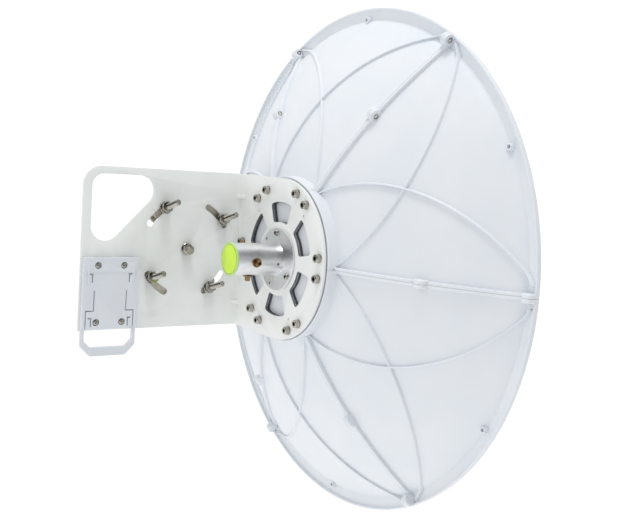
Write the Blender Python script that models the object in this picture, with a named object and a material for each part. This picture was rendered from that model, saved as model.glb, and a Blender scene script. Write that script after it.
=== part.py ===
"""Sectional dish antenna on a mast bracket.

Six moulded petals make the reflector. They meet in a hub drum, which is bolted to a bent sheet
bracket. The bracket's side plate tilts on a pivot stud against a saddle, and two V clamps with
four long bolts hold the saddle to a mast.

Two sets of axes are used, both in millimetres until a mesh is made:
  dish axes: x to the right and y up as seen from behind, z along the beam axis to the rear, with
  the origin in the rim's plane;
  bracket axes: x across, y to the rear, z up along the mast, with the origin on the saddle's pad,
  where the pivot's axis crosses it.
"""

import math

import bmesh
import bpy
from mathutils import Matrix, Vector

MM = 0.001

# Reflector
DISH_RADIUS = 325.0
BAND_RADIUS = 310.0
DISH_DEPTH = 106.0
BOWL_POWER = 2.15
SHELL_WALL = 3.0
LIP_WALL = 3.0
LIP_REAR = 2.8
LIP_FRONT = -2.8
BAND_REAR = 0.5
BOOM_HOLE_RADIUS = 20.0
PETAL_COUNT = 6
PETAL_STEPS = 8
SURFACE_STEPS = 8
SEAM_GAP = 0.3
FLANGE_WALL = 3.5
FLANGE_HEIGHT = 5.0
SEAM_BOSS_RADIUS = 8.0
SEAM_BOSS_LENGTH = 5.0
MID_BOSS = (212.5, 62.5)
RIM_BOSS = (317.0, 5.0)
RIM_STUD_RADIUS = 4.2
RIM_STUD_HEIGHT = 4.5
RIB_ARC_RADIUS = 216.0
RIB_RIM_ANGLE = 4.1
RIB_HUB_ANGLE = 2.25
RIB_WALL = 3.0
RIB_HEIGHT = 4.5
RIB_ROOT = 1.5
RIB_STEPS = 10

# Hub drum and the bent bracket plate
DRUM_RADIUS = 104.0
DRUM_WALL = 3.5
DRUM_FLOOR_INNER = 74.0
DRUM_CHAMFER = 2.0
SHEET = 3.0
FIT_GAP = 0.3
PLATE_REAR = 114.5
PLATE_HALF_HEIGHT = 101.5
SIDE_FACE = -100.0
SIDE_END = 334.0
BEND_RADIUS = 3.0
CORNER_RADIUS = 23.0
CENTRE_HOLE_RADIUS = 19.0
WINDOW_INNER = 46.5
WINDOW_OUTER = 72.0
WINDOW_HALF_ANGLE = 19.5
WINDOW_CORNER = 3.5
HUB_BOLT_CIRCLE = 91.3
HUB_BOLT_OFFSET = 7.65
HUB_BOLT_GRIP = 7.5
HANDLE_TOP = 92.6
HANDLE_REAR = 323.2
HANDLE_REACH = 106.5
HANDLE_DROP = 110.9
HANDLE_CORNER = 19.0
HANDLE_SQUARE_CORNER = 15.0
GUSSET_HEIGHT = 71.0
GUSSET_SIZE = 7.5
GUSSET_WIDTH = 5.0
GUSSET_LIP = 0.4
CUT_MARGIN = 5.0
OVERLAP = 1.0

# Elevation pivot, its arc slots and the clamp bolts
PIVOT_DEPTH = 192.6
PIVOT_STUD_RADIUS = 4.0
PIVOT_HOLE_RADIUS = 4.5
ELEVATION = 9.3
BOLT_SPAN_Y = 84.0
BOLT_SPAN_Z = 91.0
SLOT_HALF_SWEEP = 15.3
SLOT_WIDTH = 8.9
CLAMP_DROOP = 17.0
BOLT_RADIUS = 3.0
BOLT_HOLE_RADIUS = 3.8
BOLT_HEAD_RADIUS = 5.0
BOLT_HEAD_HEIGHT = 5.6
BOLT_SOCKET_ACROSS = 5.0
BOLT_SOCKET_DEPTH = 3.0
BOLT_WASHER_RADIUS = 5.6
BOLT_WASHER = 0.8
CLAMP_BOLT_LENGTH = 75.0
CLAMP_BOLT_OUTREACH = 36.5
CLAMP_BOLT_RADIUS = 3.7
CLAMP_NUT_ACROSS = 13.0
CLAMP_NUT_HEIGHT = 6.5
CLAMP_HEAD_HEIGHT = 5.3
CLAMP_WASHER_RADIUS = 8.0
CLAMP_WASHER = 1.6
SADDLE_HOLE_RADIUS = 4.8
PIVOT_STUD_REACH = 9.6
PIVOT_NUT_ACROSS = 13.0
PIVOT_NUT_HEIGHT = 6.5
PIVOT_WASHER_RADIUS = 8.0

# Saddle and V clamps
WEB = 3.0
PAD_HEIGHT = 1.2
BAR_HALF_LENGTH = 52.0
BAR_HEIGHTS = (32.0, 63.0)
BAR_CORNER = 16.0
WAIST_HALF_WIDTH = 17.0
PAD_HALF = (14.0, 22.0)
CLAMP_HALF_LENGTH = 49.5
CLAMP_HALF_HEIGHT = 11.0
CLAMP_CORNER = 9.0
SADDLE_JAW_REACH = 10.0
CLAMP_JAW_REACH = 12.0
JAW_WALL = 3.0
JAW_ROOT_HALF_LENGTH = 36.0
JAW_TIP_HALF_LENGTH = 25.0
V_DEPTH = 8.0
V_HALF_WIDTH = 18.0

# Feed
TUBE_RADIUS = 20.0
TUBE_BORE = 18.0
TUBE_END = 182.0
TUBE_FLANGE_RADIUS = 39.5
TUBE_FLANGE = 3.0
TUBE_SCREW_DEPTH = 157.0
TUBE_SCREW_ANGLES = (-5.0, 135.0, 270.0)
TUBE_SCREW_RADIUS = 2.6
TUBE_SCREW_INSET = 3.0
TUBE_SCREW_FLANGE_RADIUS = 6.0
TUBE_SCREW_FLANGE = 1.9
TUBE_SCREW_HEAD_RADIUS = 3.4
TUBE_SCREW_HEAD = 7.2
CAP_RADIUS = 21.0
CAP_FACE = 2.5
CAP_SPIGOT_RADIUS = 17.5
CAP_SPIGOT = 6.0
BOOM_RADIUS = 14.0
BOOM_BORE = 12.0
BOOM_END = -110.0
BOOM_FLANGE_RADIUS = 34.0
BOOM_FLANGE = 4.0
CONE_END = -146.0
CONE_SMALL = 14.0
CONE_NECK = 4.0
CONE_LARGE = 44.0
SPLASH_RADIUS = 48.0
SPLASH_WALL = 4.0

# Radio clip
CLIP_DEPTHS = (261.5, 332.0)
CLIP_HEIGHTS = (-98.5, -10.0)
CLIP_BASE = 7.5
CLIP_PANEL_LOW = -27.5
CLIP_PANEL_RISE = 1.0
CLIP_RAIL = (4.8, 7.6)
CLIP_RAIL_HEIGHTS = (-43.0, -18.0)
CLIP_RAIL_RISE = 2.0
CLIP_SLIT = 1.2
CLIP_ARM = 13.8
CLIP_LEG = 3.8
CLIP_SLIT_TOP = -51.0
CLIP_SLIT_STEP = -75.5
CLIP_HOOK = (7.4, 12.2)
CLIP_HOOK_TOPS = (-29.5, -84.5)
CLIP_HOOK_DROP = 11.5
CLIP_HOOK_GAP = 1.6
CLIP_HOOK_DEPTH = 5.0
CLIP_SCREW_DEPTHS = (280.5, 314.0)
CLIP_SCREW_HEIGHTS = (-19.5, -90.5)
CLIP_SCREW_HEAD_RADIUS = 3.8
CLIP_SCREW_HEAD = 2.6
CLIP_SCREW_RADIUS = 2.0
CLIP_SCREW_HOLE_RADIUS = 2.4
CLIP_SCREW_END = 1.5
CLIP_RECESS_RADIUS = 4.4
CLIP_RECESS = 3.0
BAIL_LOW = -133.0
BAIL_CHAMFER = 12.5
BAIL_BAR = 10.8
BAIL_FACES = (1.0, 6.0)

SEAM_ANGLE = 360.0 / PETAL_COUNT
PETAL_SHIFT = SEAM_GAP / 2 / math.sin(math.radians(SEAM_ANGLE / 2))
PLATE_FRONT = PLATE_REAR - SHEET
SIDE_BACK = SIDE_FACE - SHEET
SADDLE_PAD_X = SIDE_BACK - FIT_GAP - WEB - PAD_HEIGHT
PLATE_NEAR_X = SADDLE_PAD_X - SIDE_FACE
SLOT_RADIUS = math.hypot(BOLT_SPAN_Y, BOLT_SPAN_Z) / 2
SLOT_MID = math.degrees(math.atan2(BOLT_SPAN_Z, BOLT_SPAN_Y))


def clear_scene():
    """Remove what the file starts with."""
    for item in list(bpy.data.objects):
        bpy.data.objects.remove(item, do_unlink=True)


def finish(name, colour, roughness, metallic):
    """Make a plain surface finish from an sRGB-like colour in linear values."""
    made = bpy.data.materials.new(name)
    made.use_nodes = True
    shader = made.node_tree.nodes["Principled BSDF"]
    shader.inputs["Base Color"].default_value = (*colour, 1.0)
    shader.inputs["Roughness"].default_value = roughness
    shader.inputs["Metallic"].default_value = metallic
    return made


def to_mesh(shape, name):
    """Turn a bmesh in millimetres into a mesh in metres, with its faces pointing out."""
    bmesh.ops.scale(shape, vec=(MM, MM, MM), verts=shape.verts)
    bmesh.ops.recalc_face_normals(shape, faces=shape.faces)
    mesh = bpy.data.meshes.new(name)
    shape.to_mesh(mesh)
    shape.free()
    return mesh


def place(name, mesh, material, parent=None, turn=0.0):
    """Add one named piece, turned about its parent's z axis by so many degrees."""
    piece = bpy.data.objects.new(name, mesh)
    bpy.context.scene.collection.objects.link(piece)
    if not mesh.materials:
        mesh.materials.append(material)
    mesh.shade_smooth()
    mesh.set_sharp_from_angle(angle=math.radians(30))
    piece.parent = parent
    piece.rotation_euler = (0.0, 0.0, math.radians(turn))
    return piece


def empty(name, matrix, parent=None):
    """Add an axis marker that pieces hang on."""
    marker = bpy.data.objects.new(name, None)
    bpy.context.scene.collection.objects.link(marker)
    marker.parent = parent
    marker.matrix_basis = matrix
    return marker


def combine(name, base, joined=(), cut=()):
    """Fuse shapes to a base and cut others from it, and return the finished mesh."""
    body = bpy.data.objects.new(name, to_mesh(base, name))
    bpy.context.scene.collection.objects.link(body)
    helpers = []
    for operation, shapes in (("UNION", joined), ("DIFFERENCE", cut)):
        for shape in shapes:
            helper = bpy.data.objects.new(name + "_helper", to_mesh(shape, name + "_helper"))
            bpy.context.scene.collection.objects.link(helper)
            step = body.modifiers.new(operation.lower(), "BOOLEAN")
            step.operation = operation
            step.solver = "EXACT"
            step.object = helper
            helpers.append(helper)
    bpy.context.view_layer.update()
    result = bpy.data.meshes.new_from_object(body.evaluated_get(bpy.context.evaluated_depsgraph_get()))
    for helper in helpers + [body]:
        bpy.data.objects.remove(helper, do_unlink=True)
    result.name = name
    return result


def rod(start, end, radius, sides, shape=None):
    """A round or many-sided bar between two points."""
    shape = shape or bmesh.new()
    start = Vector(start)
    end = Vector(end)
    along = end - start
    turn = Vector((0, 0, 1)).rotation_difference(along).to_matrix().to_4x4()
    bmesh.ops.create_cone(
        shape,
        cap_ends=True,
        segments=sides,
        radius1=radius,
        radius2=radius,
        depth=along.length,
        matrix=Matrix.Translation((start + end) / 2) @ turn,
    )
    return shape


def prism(outline, low, high, axes, shape=None):
    """A flat outline made solid between two levels; axes turns (u, v, level) into a point."""
    shape = shape or bmesh.new()
    corners = [shape.verts.new(axes(u, v, low)) for u, v in outline]
    base = shape.faces.new(corners)
    grown = bmesh.ops.extrude_face_region(shape, geom=[base])["geom"]
    lift = Vector(axes(0, 0, high)) - Vector(axes(0, 0, low))
    moved = [item for item in grown if isinstance(item, bmesh.types.BMVert)]
    bmesh.ops.translate(shape, vec=lift, verts=moved)
    return shape


def flat_in_xy(u, v, level):
    """Outline in x and y, level along z."""
    return (u, v, level)


def flat_in_zy(u, v, level):
    """Outline in z and y, level along x."""
    return (level, v, u)


def flat_in_yz(u, v, level):
    """Outline in y and z, level along x."""
    return (level, u, v)


def flat_in_xz(u, v, level):
    """Outline in x and z, level along y."""
    return (u, level, v)


def box(low, high, shape=None):
    """A plain block between two corners."""
    outline = [(low[0], low[1]), (high[0], low[1]), (high[0], high[1]), (low[0], high[1])]
    return prism(outline, low[2], high[2], flat_in_xy, shape)


def arc(centre, radius, start, end, steps):
    """Points on an arc, from one angle in degrees to another."""
    points = []
    for step in range(steps + 1):
        angle = math.radians(start + (end - start) * step / steps)
        points.append((centre[0] + radius * math.cos(angle), centre[1] + radius * math.sin(angle)))
    return points


def polar(radius, degrees, height=0.0):
    """A point from its radius and angle about the z axis."""
    angle = math.radians(degrees)
    return Vector((radius * math.cos(angle), radius * math.sin(angle), height))


def rounded(corners, radii, steps):
    """An outline with its corners rounded."""
    points = []
    for index, (corner, radius) in enumerate(zip(corners, radii)):
        corner = Vector(corner)
        before = (Vector(corners[index - 1]) - corner).normalized()
        after = (Vector(corners[(index + 1) % len(corners)]) - corner).normalized()
        half = before.angle(after) / 2
        centre = corner + (before + after).normalized() * radius / math.sin(half)
        first = corner + before * radius / math.tan(half) - centre
        last = corner + after * radius / math.tan(half) - centre
        sweep = first.angle_signed(last)
        start = math.atan2(first.y, first.x)
        for step in range(steps + 1):
            angle = start - sweep * step / steps
            points.append((centre.x + radius * math.cos(angle), centre.y + radius * math.sin(angle)))
    return points


def rear_surface(radius):
    """Height of the reflector's rear face, a little fuller than a paraboloid, down to the rim band."""
    return DISH_DEPTH * (1 - (radius / BAND_RADIUS) ** BOWL_POWER)


def surface_points(start, end, steps, offset=0.0):
    """Points down the reflector's rear face, raised by an offset."""
    radii = [start + (end - start) * step / steps for step in range(steps + 1)]
    return [(radius, rear_surface(radius) + offset) for radius in radii]


def petal_section():
    """Outline of a petal cut through the beam axis: shell, rim band and lip, hub drum and its floor."""
    floor_rear = PLATE_FRONT - FIT_GAP
    floor_front = floor_rear - SHELL_WALL
    drum_inner = DRUM_RADIUS - DRUM_WALL
    rim = DISH_RADIUS - PETAL_SHIFT
    band_front = BAND_REAR - SHELL_WALL
    front = surface_points(BOOM_HOLE_RADIUS, BAND_RADIUS, SURFACE_STEPS + 2, -SHELL_WALL)
    front[-1] = (BAND_RADIUS, band_front)
    lip = [
        (rim - LIP_WALL, band_front),
        (rim - LIP_WALL, LIP_FRONT),
        (rim, LIP_FRONT),
        (rim, LIP_REAR),
        (rim - LIP_WALL, LIP_REAR),
        (rim - LIP_WALL, BAND_REAR),
    ]
    outside = surface_points(BAND_RADIUS, DRUM_RADIUS, SURFACE_STEPS)
    outside[0] = (BAND_RADIUS, BAND_REAR)
    drum = [
        (DRUM_RADIUS, floor_rear - DRUM_CHAMFER),
        (DRUM_RADIUS - DRUM_CHAMFER, floor_rear),
        (DRUM_FLOOR_INNER, floor_rear),
        (DRUM_FLOOR_INNER, floor_front),
        (drum_inner, floor_front),
    ]
    inside = surface_points(drum_inner, BOOM_HOLE_RADIUS, 2)
    return front + lip + outside + drum + inside


def petal_shell():
    """The petal's section swept through one sixth of a turn."""
    shape = bmesh.new()
    corners = [shape.verts.new((radius, 0.0, height)) for radius, height in petal_section()]
    start = shape.faces.new(corners)
    bmesh.ops.spin(
        shape,
        geom=[start] + list(start.edges) + corners,
        cent=(0, 0, 0),
        axis=(0, 0, 1),
        angle=math.radians(SEAM_ANGLE),
        steps=PETAL_STEPS,
        use_merge=False,
    )
    return shape


def mirror_petal(shape):
    """Mirror a shape across the petal's middle plane."""
    half = math.radians(SEAM_ANGLE / 2)
    turn = Matrix.Rotation(half, 4, "Z")
    flip = turn @ Matrix.Scale(-1, 4, (0, 1, 0)) @ turn.inverted()
    bmesh.ops.transform(shape, matrix=flip, verts=shape.verts)
    return shape


def seam_flange():
    """The wall that stands on a petal's edge, with its two screw bosses."""
    inner = DRUM_RADIUS - DRUM_WALL / 2
    outer = BAND_RADIUS + (DISH_RADIUS - BAND_RADIUS) / 2
    top = surface_points(inner, BAND_RADIUS, SURFACE_STEPS, FLANGE_HEIGHT)
    low = surface_points(BAND_RADIUS, inner, SURFACE_STEPS, -SHELL_WALL / 2)
    outline = top + [(outer, FLANGE_HEIGHT / 2), (outer, -SHELL_WALL / 2)] + low
    return prism(outline, 0.0, FLANGE_WALL, flat_in_xz)


def seam_bosses():
    """Round bosses across a seam, for the screws that pull two petals together."""
    shape = bmesh.new()
    for radius, height in (MID_BOSS, RIM_BOSS):
        rod((radius, 0.0, height), (radius, SEAM_BOSS_LENGTH, height), SEAM_BOSS_RADIUS, 16, shape)
    return shape


def arc_rib():
    """A low stiffening rib, a circular arc in plan from the hub at one seam to the rim at the next."""
    hub_end = polar(DRUM_RADIUS - DRUM_WALL / 2, SEAM_ANGLE - RIB_HUB_ANGLE)
    rim_end = polar(BAND_RADIUS + 1.0, RIB_RIM_ANGLE)
    chord = rim_end - hub_end
    drop = math.sqrt(RIB_ARC_RADIUS**2 - (chord.length / 2) ** 2)
    side = Vector((chord.y, -chord.x, 0.0)).normalized()
    centre = (hub_end + rim_end) / 2 + side * drop
    first = math.degrees(math.atan2(hub_end.y - centre.y, hub_end.x - centre.x))
    last = math.degrees(math.atan2(rim_end.y - centre.y, rim_end.x - centre.x))
    shape = bmesh.new()
    rings = []
    for step in range(RIB_STEPS + 1):
        angle = first + (last - first) * step / RIB_STEPS
        ring = []
        for across, rise in ((-1, -RIB_ROOT), (1, -RIB_ROOT), (1, RIB_HEIGHT), (-1, RIB_HEIGHT)):
            point = centre + polar(RIB_ARC_RADIUS + across * RIB_WALL / 2, angle)
            spot = min(math.hypot(point.x, point.y), BAND_RADIUS)
            ring.append(shape.verts.new((point.x, point.y, rear_surface(spot) + rise)))
        rings.append(ring)
    for low, high in zip(rings, rings[1:]):
        for index in range(4):
            following = (index + 1) % 4
            shape.faces.new((low[index], low[following], high[following], high[index]))
    shape.faces.new(rings[0])
    shape.faces.new(rings[-1])
    return shape


def petal_mesh():
    """One petal between seams at 0 and 60 degrees, moved out so that the seams stay open."""
    joined = [
        seam_flange(),
        mirror_petal(seam_flange()),
        seam_bosses(),
        mirror_petal(seam_bosses()),
        arc_rib(),
        mirror_petal(arc_rib()),
    ]
    stud_foot = polar(BAND_RADIUS, SEAM_ANGLE / 2, -1.0)
    stud_top = polar(BAND_RADIUS, SEAM_ANGLE / 2, RIM_STUD_HEIGHT)
    joined.append(rod(stud_foot, stud_top, RIM_STUD_RADIUS, 12))
    holes = bmesh.new()
    for angle in (HUB_BOLT_OFFSET, SEAM_ANGLE - HUB_BOLT_OFFSET):
        low = polar(HUB_BOLT_CIRCLE, angle, PLATE_FRONT - 2 * CUT_MARGIN)
        high = polar(HUB_BOLT_CIRCLE, angle, PLATE_FRONT + CUT_MARGIN)
        rod(low, high, BOLT_HOLE_RADIUS, 10, holes)
    mesh = combine("petal", petal_shell(), joined, [holes])
    mesh.transform(Matrix.Translation(polar(PETAL_SHIFT, SEAM_ANGLE / 2) * MM))
    return mesh


def bent_sheet():
    """The L of the hub plate and the side plate, bent round a small radius."""
    centre = (SIDE_FACE + BEND_RADIUS, PLATE_REAR + BEND_RADIUS)
    outer_bend = arc(centre, BEND_RADIUS + SHEET, 270, 180, 5)
    inner_bend = arc(centre, BEND_RADIUS, 180, 270, 5)
    outline = [(PLATE_HALF_HEIGHT + OVERLAP, PLATE_FRONT)] + outer_bend
    outline += [(SIDE_BACK, SIDE_END), (SIDE_FACE, SIDE_END)] + inner_bend
    outline += [(PLATE_HALF_HEIGHT + OVERLAP, PLATE_REAR)]
    return prism(outline, -PLATE_HALF_HEIGHT, PLATE_HALF_HEIGHT, flat_in_xz)


def round_end_cutter():
    """What is cut away outside the hub plate's round half."""
    far = PLATE_HALF_HEIGHT + 2 * CUT_MARGIN
    outline = [(0, far), (far, far), (far, -far), (0, -far)]
    outline += arc((0, 0), PLATE_HALF_HEIGHT, -90, 90, 28)
    return prism(outline, PLATE_FRONT - CUT_MARGIN, PLATE_REAR + CUT_MARGIN, flat_in_xy)


def window_cutter():
    """Six windows between the hub plate's spokes."""
    shape = bmesh.new()
    for index in range(PETAL_COUNT):
        middle = SEAM_ANGLE * (index + 0.5)
        start = middle - WINDOW_HALF_ANGLE
        end = middle + WINDOW_HALF_ANGLE
        outline = arc((0, 0), WINDOW_OUTER, start, end, 6) + arc((0, 0), WINDOW_INNER, end, start, 5)
        prism(outline, PLATE_FRONT - CUT_MARGIN, PLATE_REAR + CUT_MARGIN, flat_in_xy, shape)
    bmesh.ops.recalc_face_normals(shape, faces=shape.faces)
    corners = [edge for edge in shape.edges if edge.calc_face_angle() > 1.0 and is_upright(edge)]
    bmesh.ops.bevel(
        shape,
        geom=corners,
        offset=WINDOW_CORNER,
        segments=2,
        profile=0.5,
        affect="EDGES",
        clamp_overlap=True,
        material=-1,
    )
    return shape


def is_upright(edge):
    """Whether an edge runs along the z axis."""
    along = edge.verts[1].co - edge.verts[0].co
    return abs(along.z) > 0.9 * along.length


def hub_hole_cutter():
    """The hub plate's centre hole and its twelve bolt holes."""
    low_level = PLATE_FRONT - CUT_MARGIN
    high_level = PLATE_REAR + CUT_MARGIN
    shape = rod((0, 0, low_level), (0, 0, high_level), CENTRE_HOLE_RADIUS, 32)
    for angle in hub_bolt_angles():
        low = polar(HUB_BOLT_CIRCLE, angle, low_level)
        high = polar(HUB_BOLT_CIRCLE, angle, high_level)
        rod(low, high, BOLT_HOLE_RADIUS, 10, shape)
    return shape


def hub_bolt_angles():
    """Angles of the hub bolts, in pairs on each side of a seam."""
    angles = []
    for index in range(PETAL_COUNT):
        angles += [SEAM_ANGLE * index - HUB_BOLT_OFFSET, SEAM_ANGLE * index + HUB_BOLT_OFFSET]
    return angles


def handle_cutter():
    """The triangular hand hole in the side plate's upper corner, and that corner's rounding."""
    corners = [
        (HANDLE_REAR, HANDLE_TOP),
        (HANDLE_REAR - HANDLE_REACH, HANDLE_TOP),
        (HANDLE_REAR, HANDLE_TOP - HANDLE_DROP),
    ]
    radii = [HANDLE_SQUARE_CORNER, HANDLE_CORNER, HANDLE_CORNER]
    shape = prism(rounded(corners, radii, 5), SIDE_BACK - CUT_MARGIN, SIDE_FACE + CUT_MARGIN, flat_in_zy)
    centre = (SIDE_END - CORNER_RADIUS, PLATE_HALF_HEIGHT - CORNER_RADIUS)
    outline = arc(centre, CORNER_RADIUS, 0, 90, 7)
    over = (SIDE_END + CUT_MARGIN, PLATE_HALF_HEIGHT + CUT_MARGIN)
    outline += [(centre[0], over[1]), over, (over[0], centre[1])]
    return prism(outline, SIDE_BACK - CUT_MARGIN, SIDE_FACE + CUT_MARGIN, flat_in_zy, shape)


def slot_cutter():
    """The pivot hole and the four arc slots round it."""
    middle = (PIVOT_DEPTH, 0.0)
    back = SIDE_BACK - CUT_MARGIN
    front = SIDE_FACE + CUT_MARGIN
    shape = rod((back, 0, PIVOT_DEPTH), (front, 0, PIVOT_DEPTH), PIVOT_HOLE_RADIUS, 16)
    half = SLOT_WIDTH / 2
    for mid in (SLOT_MID, 180 - SLOT_MID, 180 + SLOT_MID, 360 - SLOT_MID):
        start = mid - SLOT_HALF_SWEEP
        end = mid + SLOT_HALF_SWEEP
        first = arc(middle, SLOT_RADIUS, start, end, 1)
        outline = arc(middle, SLOT_RADIUS + half, start, end, 5)
        outline += arc(first[1], half, end, end + 180, 5)[1:-1]
        outline += arc(middle, SLOT_RADIUS - half, end, start, 5)
        outline += arc(first[0], half, start + 180, start + 360, 5)[1:-1]
        prism(outline, back, front, flat_in_zy, shape)
    return shape


def clip_screw_places():
    """Heights and depths of the clip's four screws."""
    return [(height, depth) for height in CLIP_SCREW_HEIGHTS for depth in CLIP_SCREW_DEPTHS]


def clip_hole_cutter(low, high, radius, sides):
    """Holes for the radio clip's screws, between two levels along x."""
    shape = bmesh.new()
    for height, depth in clip_screw_places():
        rod((low, height, depth), (high, height, depth), radius, sides, shape)
    return shape


def gussets():
    """Two small pressed gussets that stiffen the bend."""
    shape = bmesh.new()
    for height in (-GUSSET_HEIGHT, GUSSET_HEIGHT):
        outline = [
            (SIDE_FACE - OVERLAP, PLATE_REAR - OVERLAP),
            (SIDE_FACE + GUSSET_SIZE, PLATE_REAR - OVERLAP),
            (SIDE_FACE + GUSSET_SIZE, PLATE_REAR + GUSSET_LIP),
            (SIDE_FACE + GUSSET_LIP, PLATE_REAR + GUSSET_SIZE),
            (SIDE_FACE - OVERLAP, PLATE_REAR + GUSSET_SIZE),
        ]
        prism(outline, height - GUSSET_WIDTH / 2, height + GUSSET_WIDTH / 2, flat_in_xz, shape)
    return shape


def bracket_plate_mesh():
    """The bent sheet with all its cut-outs."""
    cuts = [
        round_end_cutter(),
        window_cutter(),
        hub_hole_cutter(),
        handle_cutter(),
        slot_cutter(),
        clip_hole_cutter(SIDE_BACK - CUT_MARGIN, SIDE_FACE + CUT_MARGIN, CLIP_SCREW_HOLE_RADIUS, 8),
    ]
    return combine("bracket_plate", bent_sheet(), [gussets()], cuts)


def revolve(section, sides):
    """A turned piece from its section's outline of (radius, height) points about the z axis."""
    shape = bmesh.new()
    rings = []
    for step in range(sides):
        angle = 360.0 * step / sides
        rings.append([shape.verts.new(polar(radius, angle, height)) for radius, height in section])
    count = len(section)
    for index, ring in enumerate(rings):
        following = rings[(index + 1) % sides]
        for corner in range(count):
            other = (corner + 1) % count
            shape.faces.new((ring[corner], ring[other], following[other], following[corner]))
    return shape


def feed_tube_mesh():
    """The aluminium port tube with its mounting flange and the four screw holes."""
    low = PLATE_REAR + FIT_GAP
    section = [
        (TUBE_BORE, low),
        (TUBE_FLANGE_RADIUS, low),
        (TUBE_FLANGE_RADIUS, low + TUBE_FLANGE),
        (TUBE_RADIUS, low + TUBE_FLANGE),
        (TUBE_RADIUS, TUBE_END),
        (TUBE_BORE, TUBE_END),
    ]
    holes = bmesh.new()
    for angle in TUBE_SCREW_ANGLES:
        inner = polar(TUBE_BORE - CUT_MARGIN, angle, TUBE_SCREW_DEPTH)
        outer = polar(TUBE_RADIUS + CUT_MARGIN, angle, TUBE_SCREW_DEPTH)
        rod(inner, outer, TUBE_SCREW_RADIUS + FIT_GAP, 8, holes)
    return combine("feed_tube", revolve(section, 32), (), [holes])


def tube_screw_mesh():
    """A flanged screw through the tube's wall, along the x axis."""
    seat = TUBE_RADIUS + FIT_GAP
    flange_top = TUBE_RADIUS + TUBE_SCREW_FLANGE
    head_top = TUBE_RADIUS + TUBE_SCREW_HEAD
    flange = rod((seat, 0, 0), (flange_top, 0, 0), TUBE_SCREW_FLANGE_RADIUS, 16)
    head = rod((flange_top - OVERLAP, 0, 0), (head_top, 0, 0), TUBE_SCREW_HEAD_RADIUS, 12)
    shank = rod((TUBE_BORE - TUBE_SCREW_INSET, 0, 0), (seat + OVERLAP, 0, 0), TUBE_SCREW_RADIUS, 8)
    mesh = combine("tube_screw", flange, [head, shank])
    mesh.transform(Matrix.Translation((0, 0, TUBE_SCREW_DEPTH * MM)))
    return mesh


def feed_cap_mesh():
    """The plastic cap on the tube's open end."""
    low = TUBE_END + FIT_GAP
    face = rod((0, 0, low), (0, 0, low + CAP_FACE), CAP_RADIUS, 32)
    spigot = rod((0, 0, TUBE_END - CAP_SPIGOT), (0, 0, low + OVERLAP), CAP_SPIGOT_RADIUS, 32)
    return combine("feed_cap", face, [spigot])


def feed_boom_mesh():
    """The waveguide boom, flanged to the hub plate's front face and open at its outer end."""
    high = PLATE_FRONT - FIT_GAP
    section = [
        (BOOM_BORE, BOOM_END),
        (BOOM_RADIUS, BOOM_END),
        (BOOM_RADIUS, high - BOOM_FLANGE),
        (BOOM_FLANGE_RADIUS, high - BOOM_FLANGE),
        (BOOM_FLANGE_RADIUS, high),
        (BOOM_BORE, high),
    ]
    return to_mesh(revolve(section, 24), "feed_boom")


def feed_cone_mesh():
    """The dielectric cone that carries the sub-reflector."""
    high = BOOM_END - FIT_GAP
    section = [
        (0.0, high),
        (CONE_SMALL, high),
        (CONE_SMALL, high - CONE_NECK),
        (CONE_LARGE, CONE_END),
        (0.0, CONE_END),
    ]
    shape = revolve(section, 24)
    bmesh.ops.remove_doubles(shape, verts=shape.verts, dist=0.01)
    bmesh.ops.dissolve_degenerate(shape, dist=0.01, edges=shape.edges)
    return to_mesh(shape, "feed_cone")


def hub_bolt_mesh():
    """A socket-head hub bolt with its washer, seated on the hub plate."""
    head_top = BOLT_WASHER + BOLT_HEAD_HEIGHT
    head = rod((0, 0, BOLT_WASHER / 2), (0, 0, head_top), BOLT_HEAD_RADIUS, 20)
    washer = rod((0, 0, 0), (0, 0, BOLT_WASHER), BOLT_WASHER_RADIUS, 16)
    shank = rod((0, 0, -HUB_BOLT_GRIP), (0, 0, OVERLAP), BOLT_RADIUS, 10)
    socket_floor = head_top - BOLT_SOCKET_DEPTH
    socket = rod((0, 0, socket_floor), (0, 0, head_top + CUT_MARGIN), BOLT_SOCKET_ACROSS / math.sqrt(3), 6)
    mesh = combine("hub_bolt", head, [washer, shank], [socket])
    offset = Vector((HUB_BOLT_CIRCLE, 0, PLATE_REAR + FIT_GAP)) * MM
    mesh.transform(Matrix.Translation(offset))
    return mesh


def jaw(reach_from, reach_to, heights, shape=None):
    """A pair of V-notched jaw walls at a web's low and high edges, from the web towards the mast."""
    toward = 1 if reach_to > reach_from else -1
    apex = reach_to - toward * V_DEPTH
    shape = shape or bmesh.new()
    outline = [
        (reach_from, -JAW_ROOT_HALF_LENGTH),
        (reach_to, -JAW_TIP_HALF_LENGTH),
        (reach_to, -V_HALF_WIDTH),
        (apex, 0),
        (reach_to, V_HALF_WIDTH),
        (reach_to, JAW_TIP_HALF_LENGTH),
        (reach_from, JAW_ROOT_HALF_LENGTH),
    ]
    low, high = heights
    prism(outline, low, low + JAW_WALL, flat_in_xy, shape)
    prism(outline, high - JAW_WALL, high, flat_in_xy, shape)
    return shape


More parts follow.
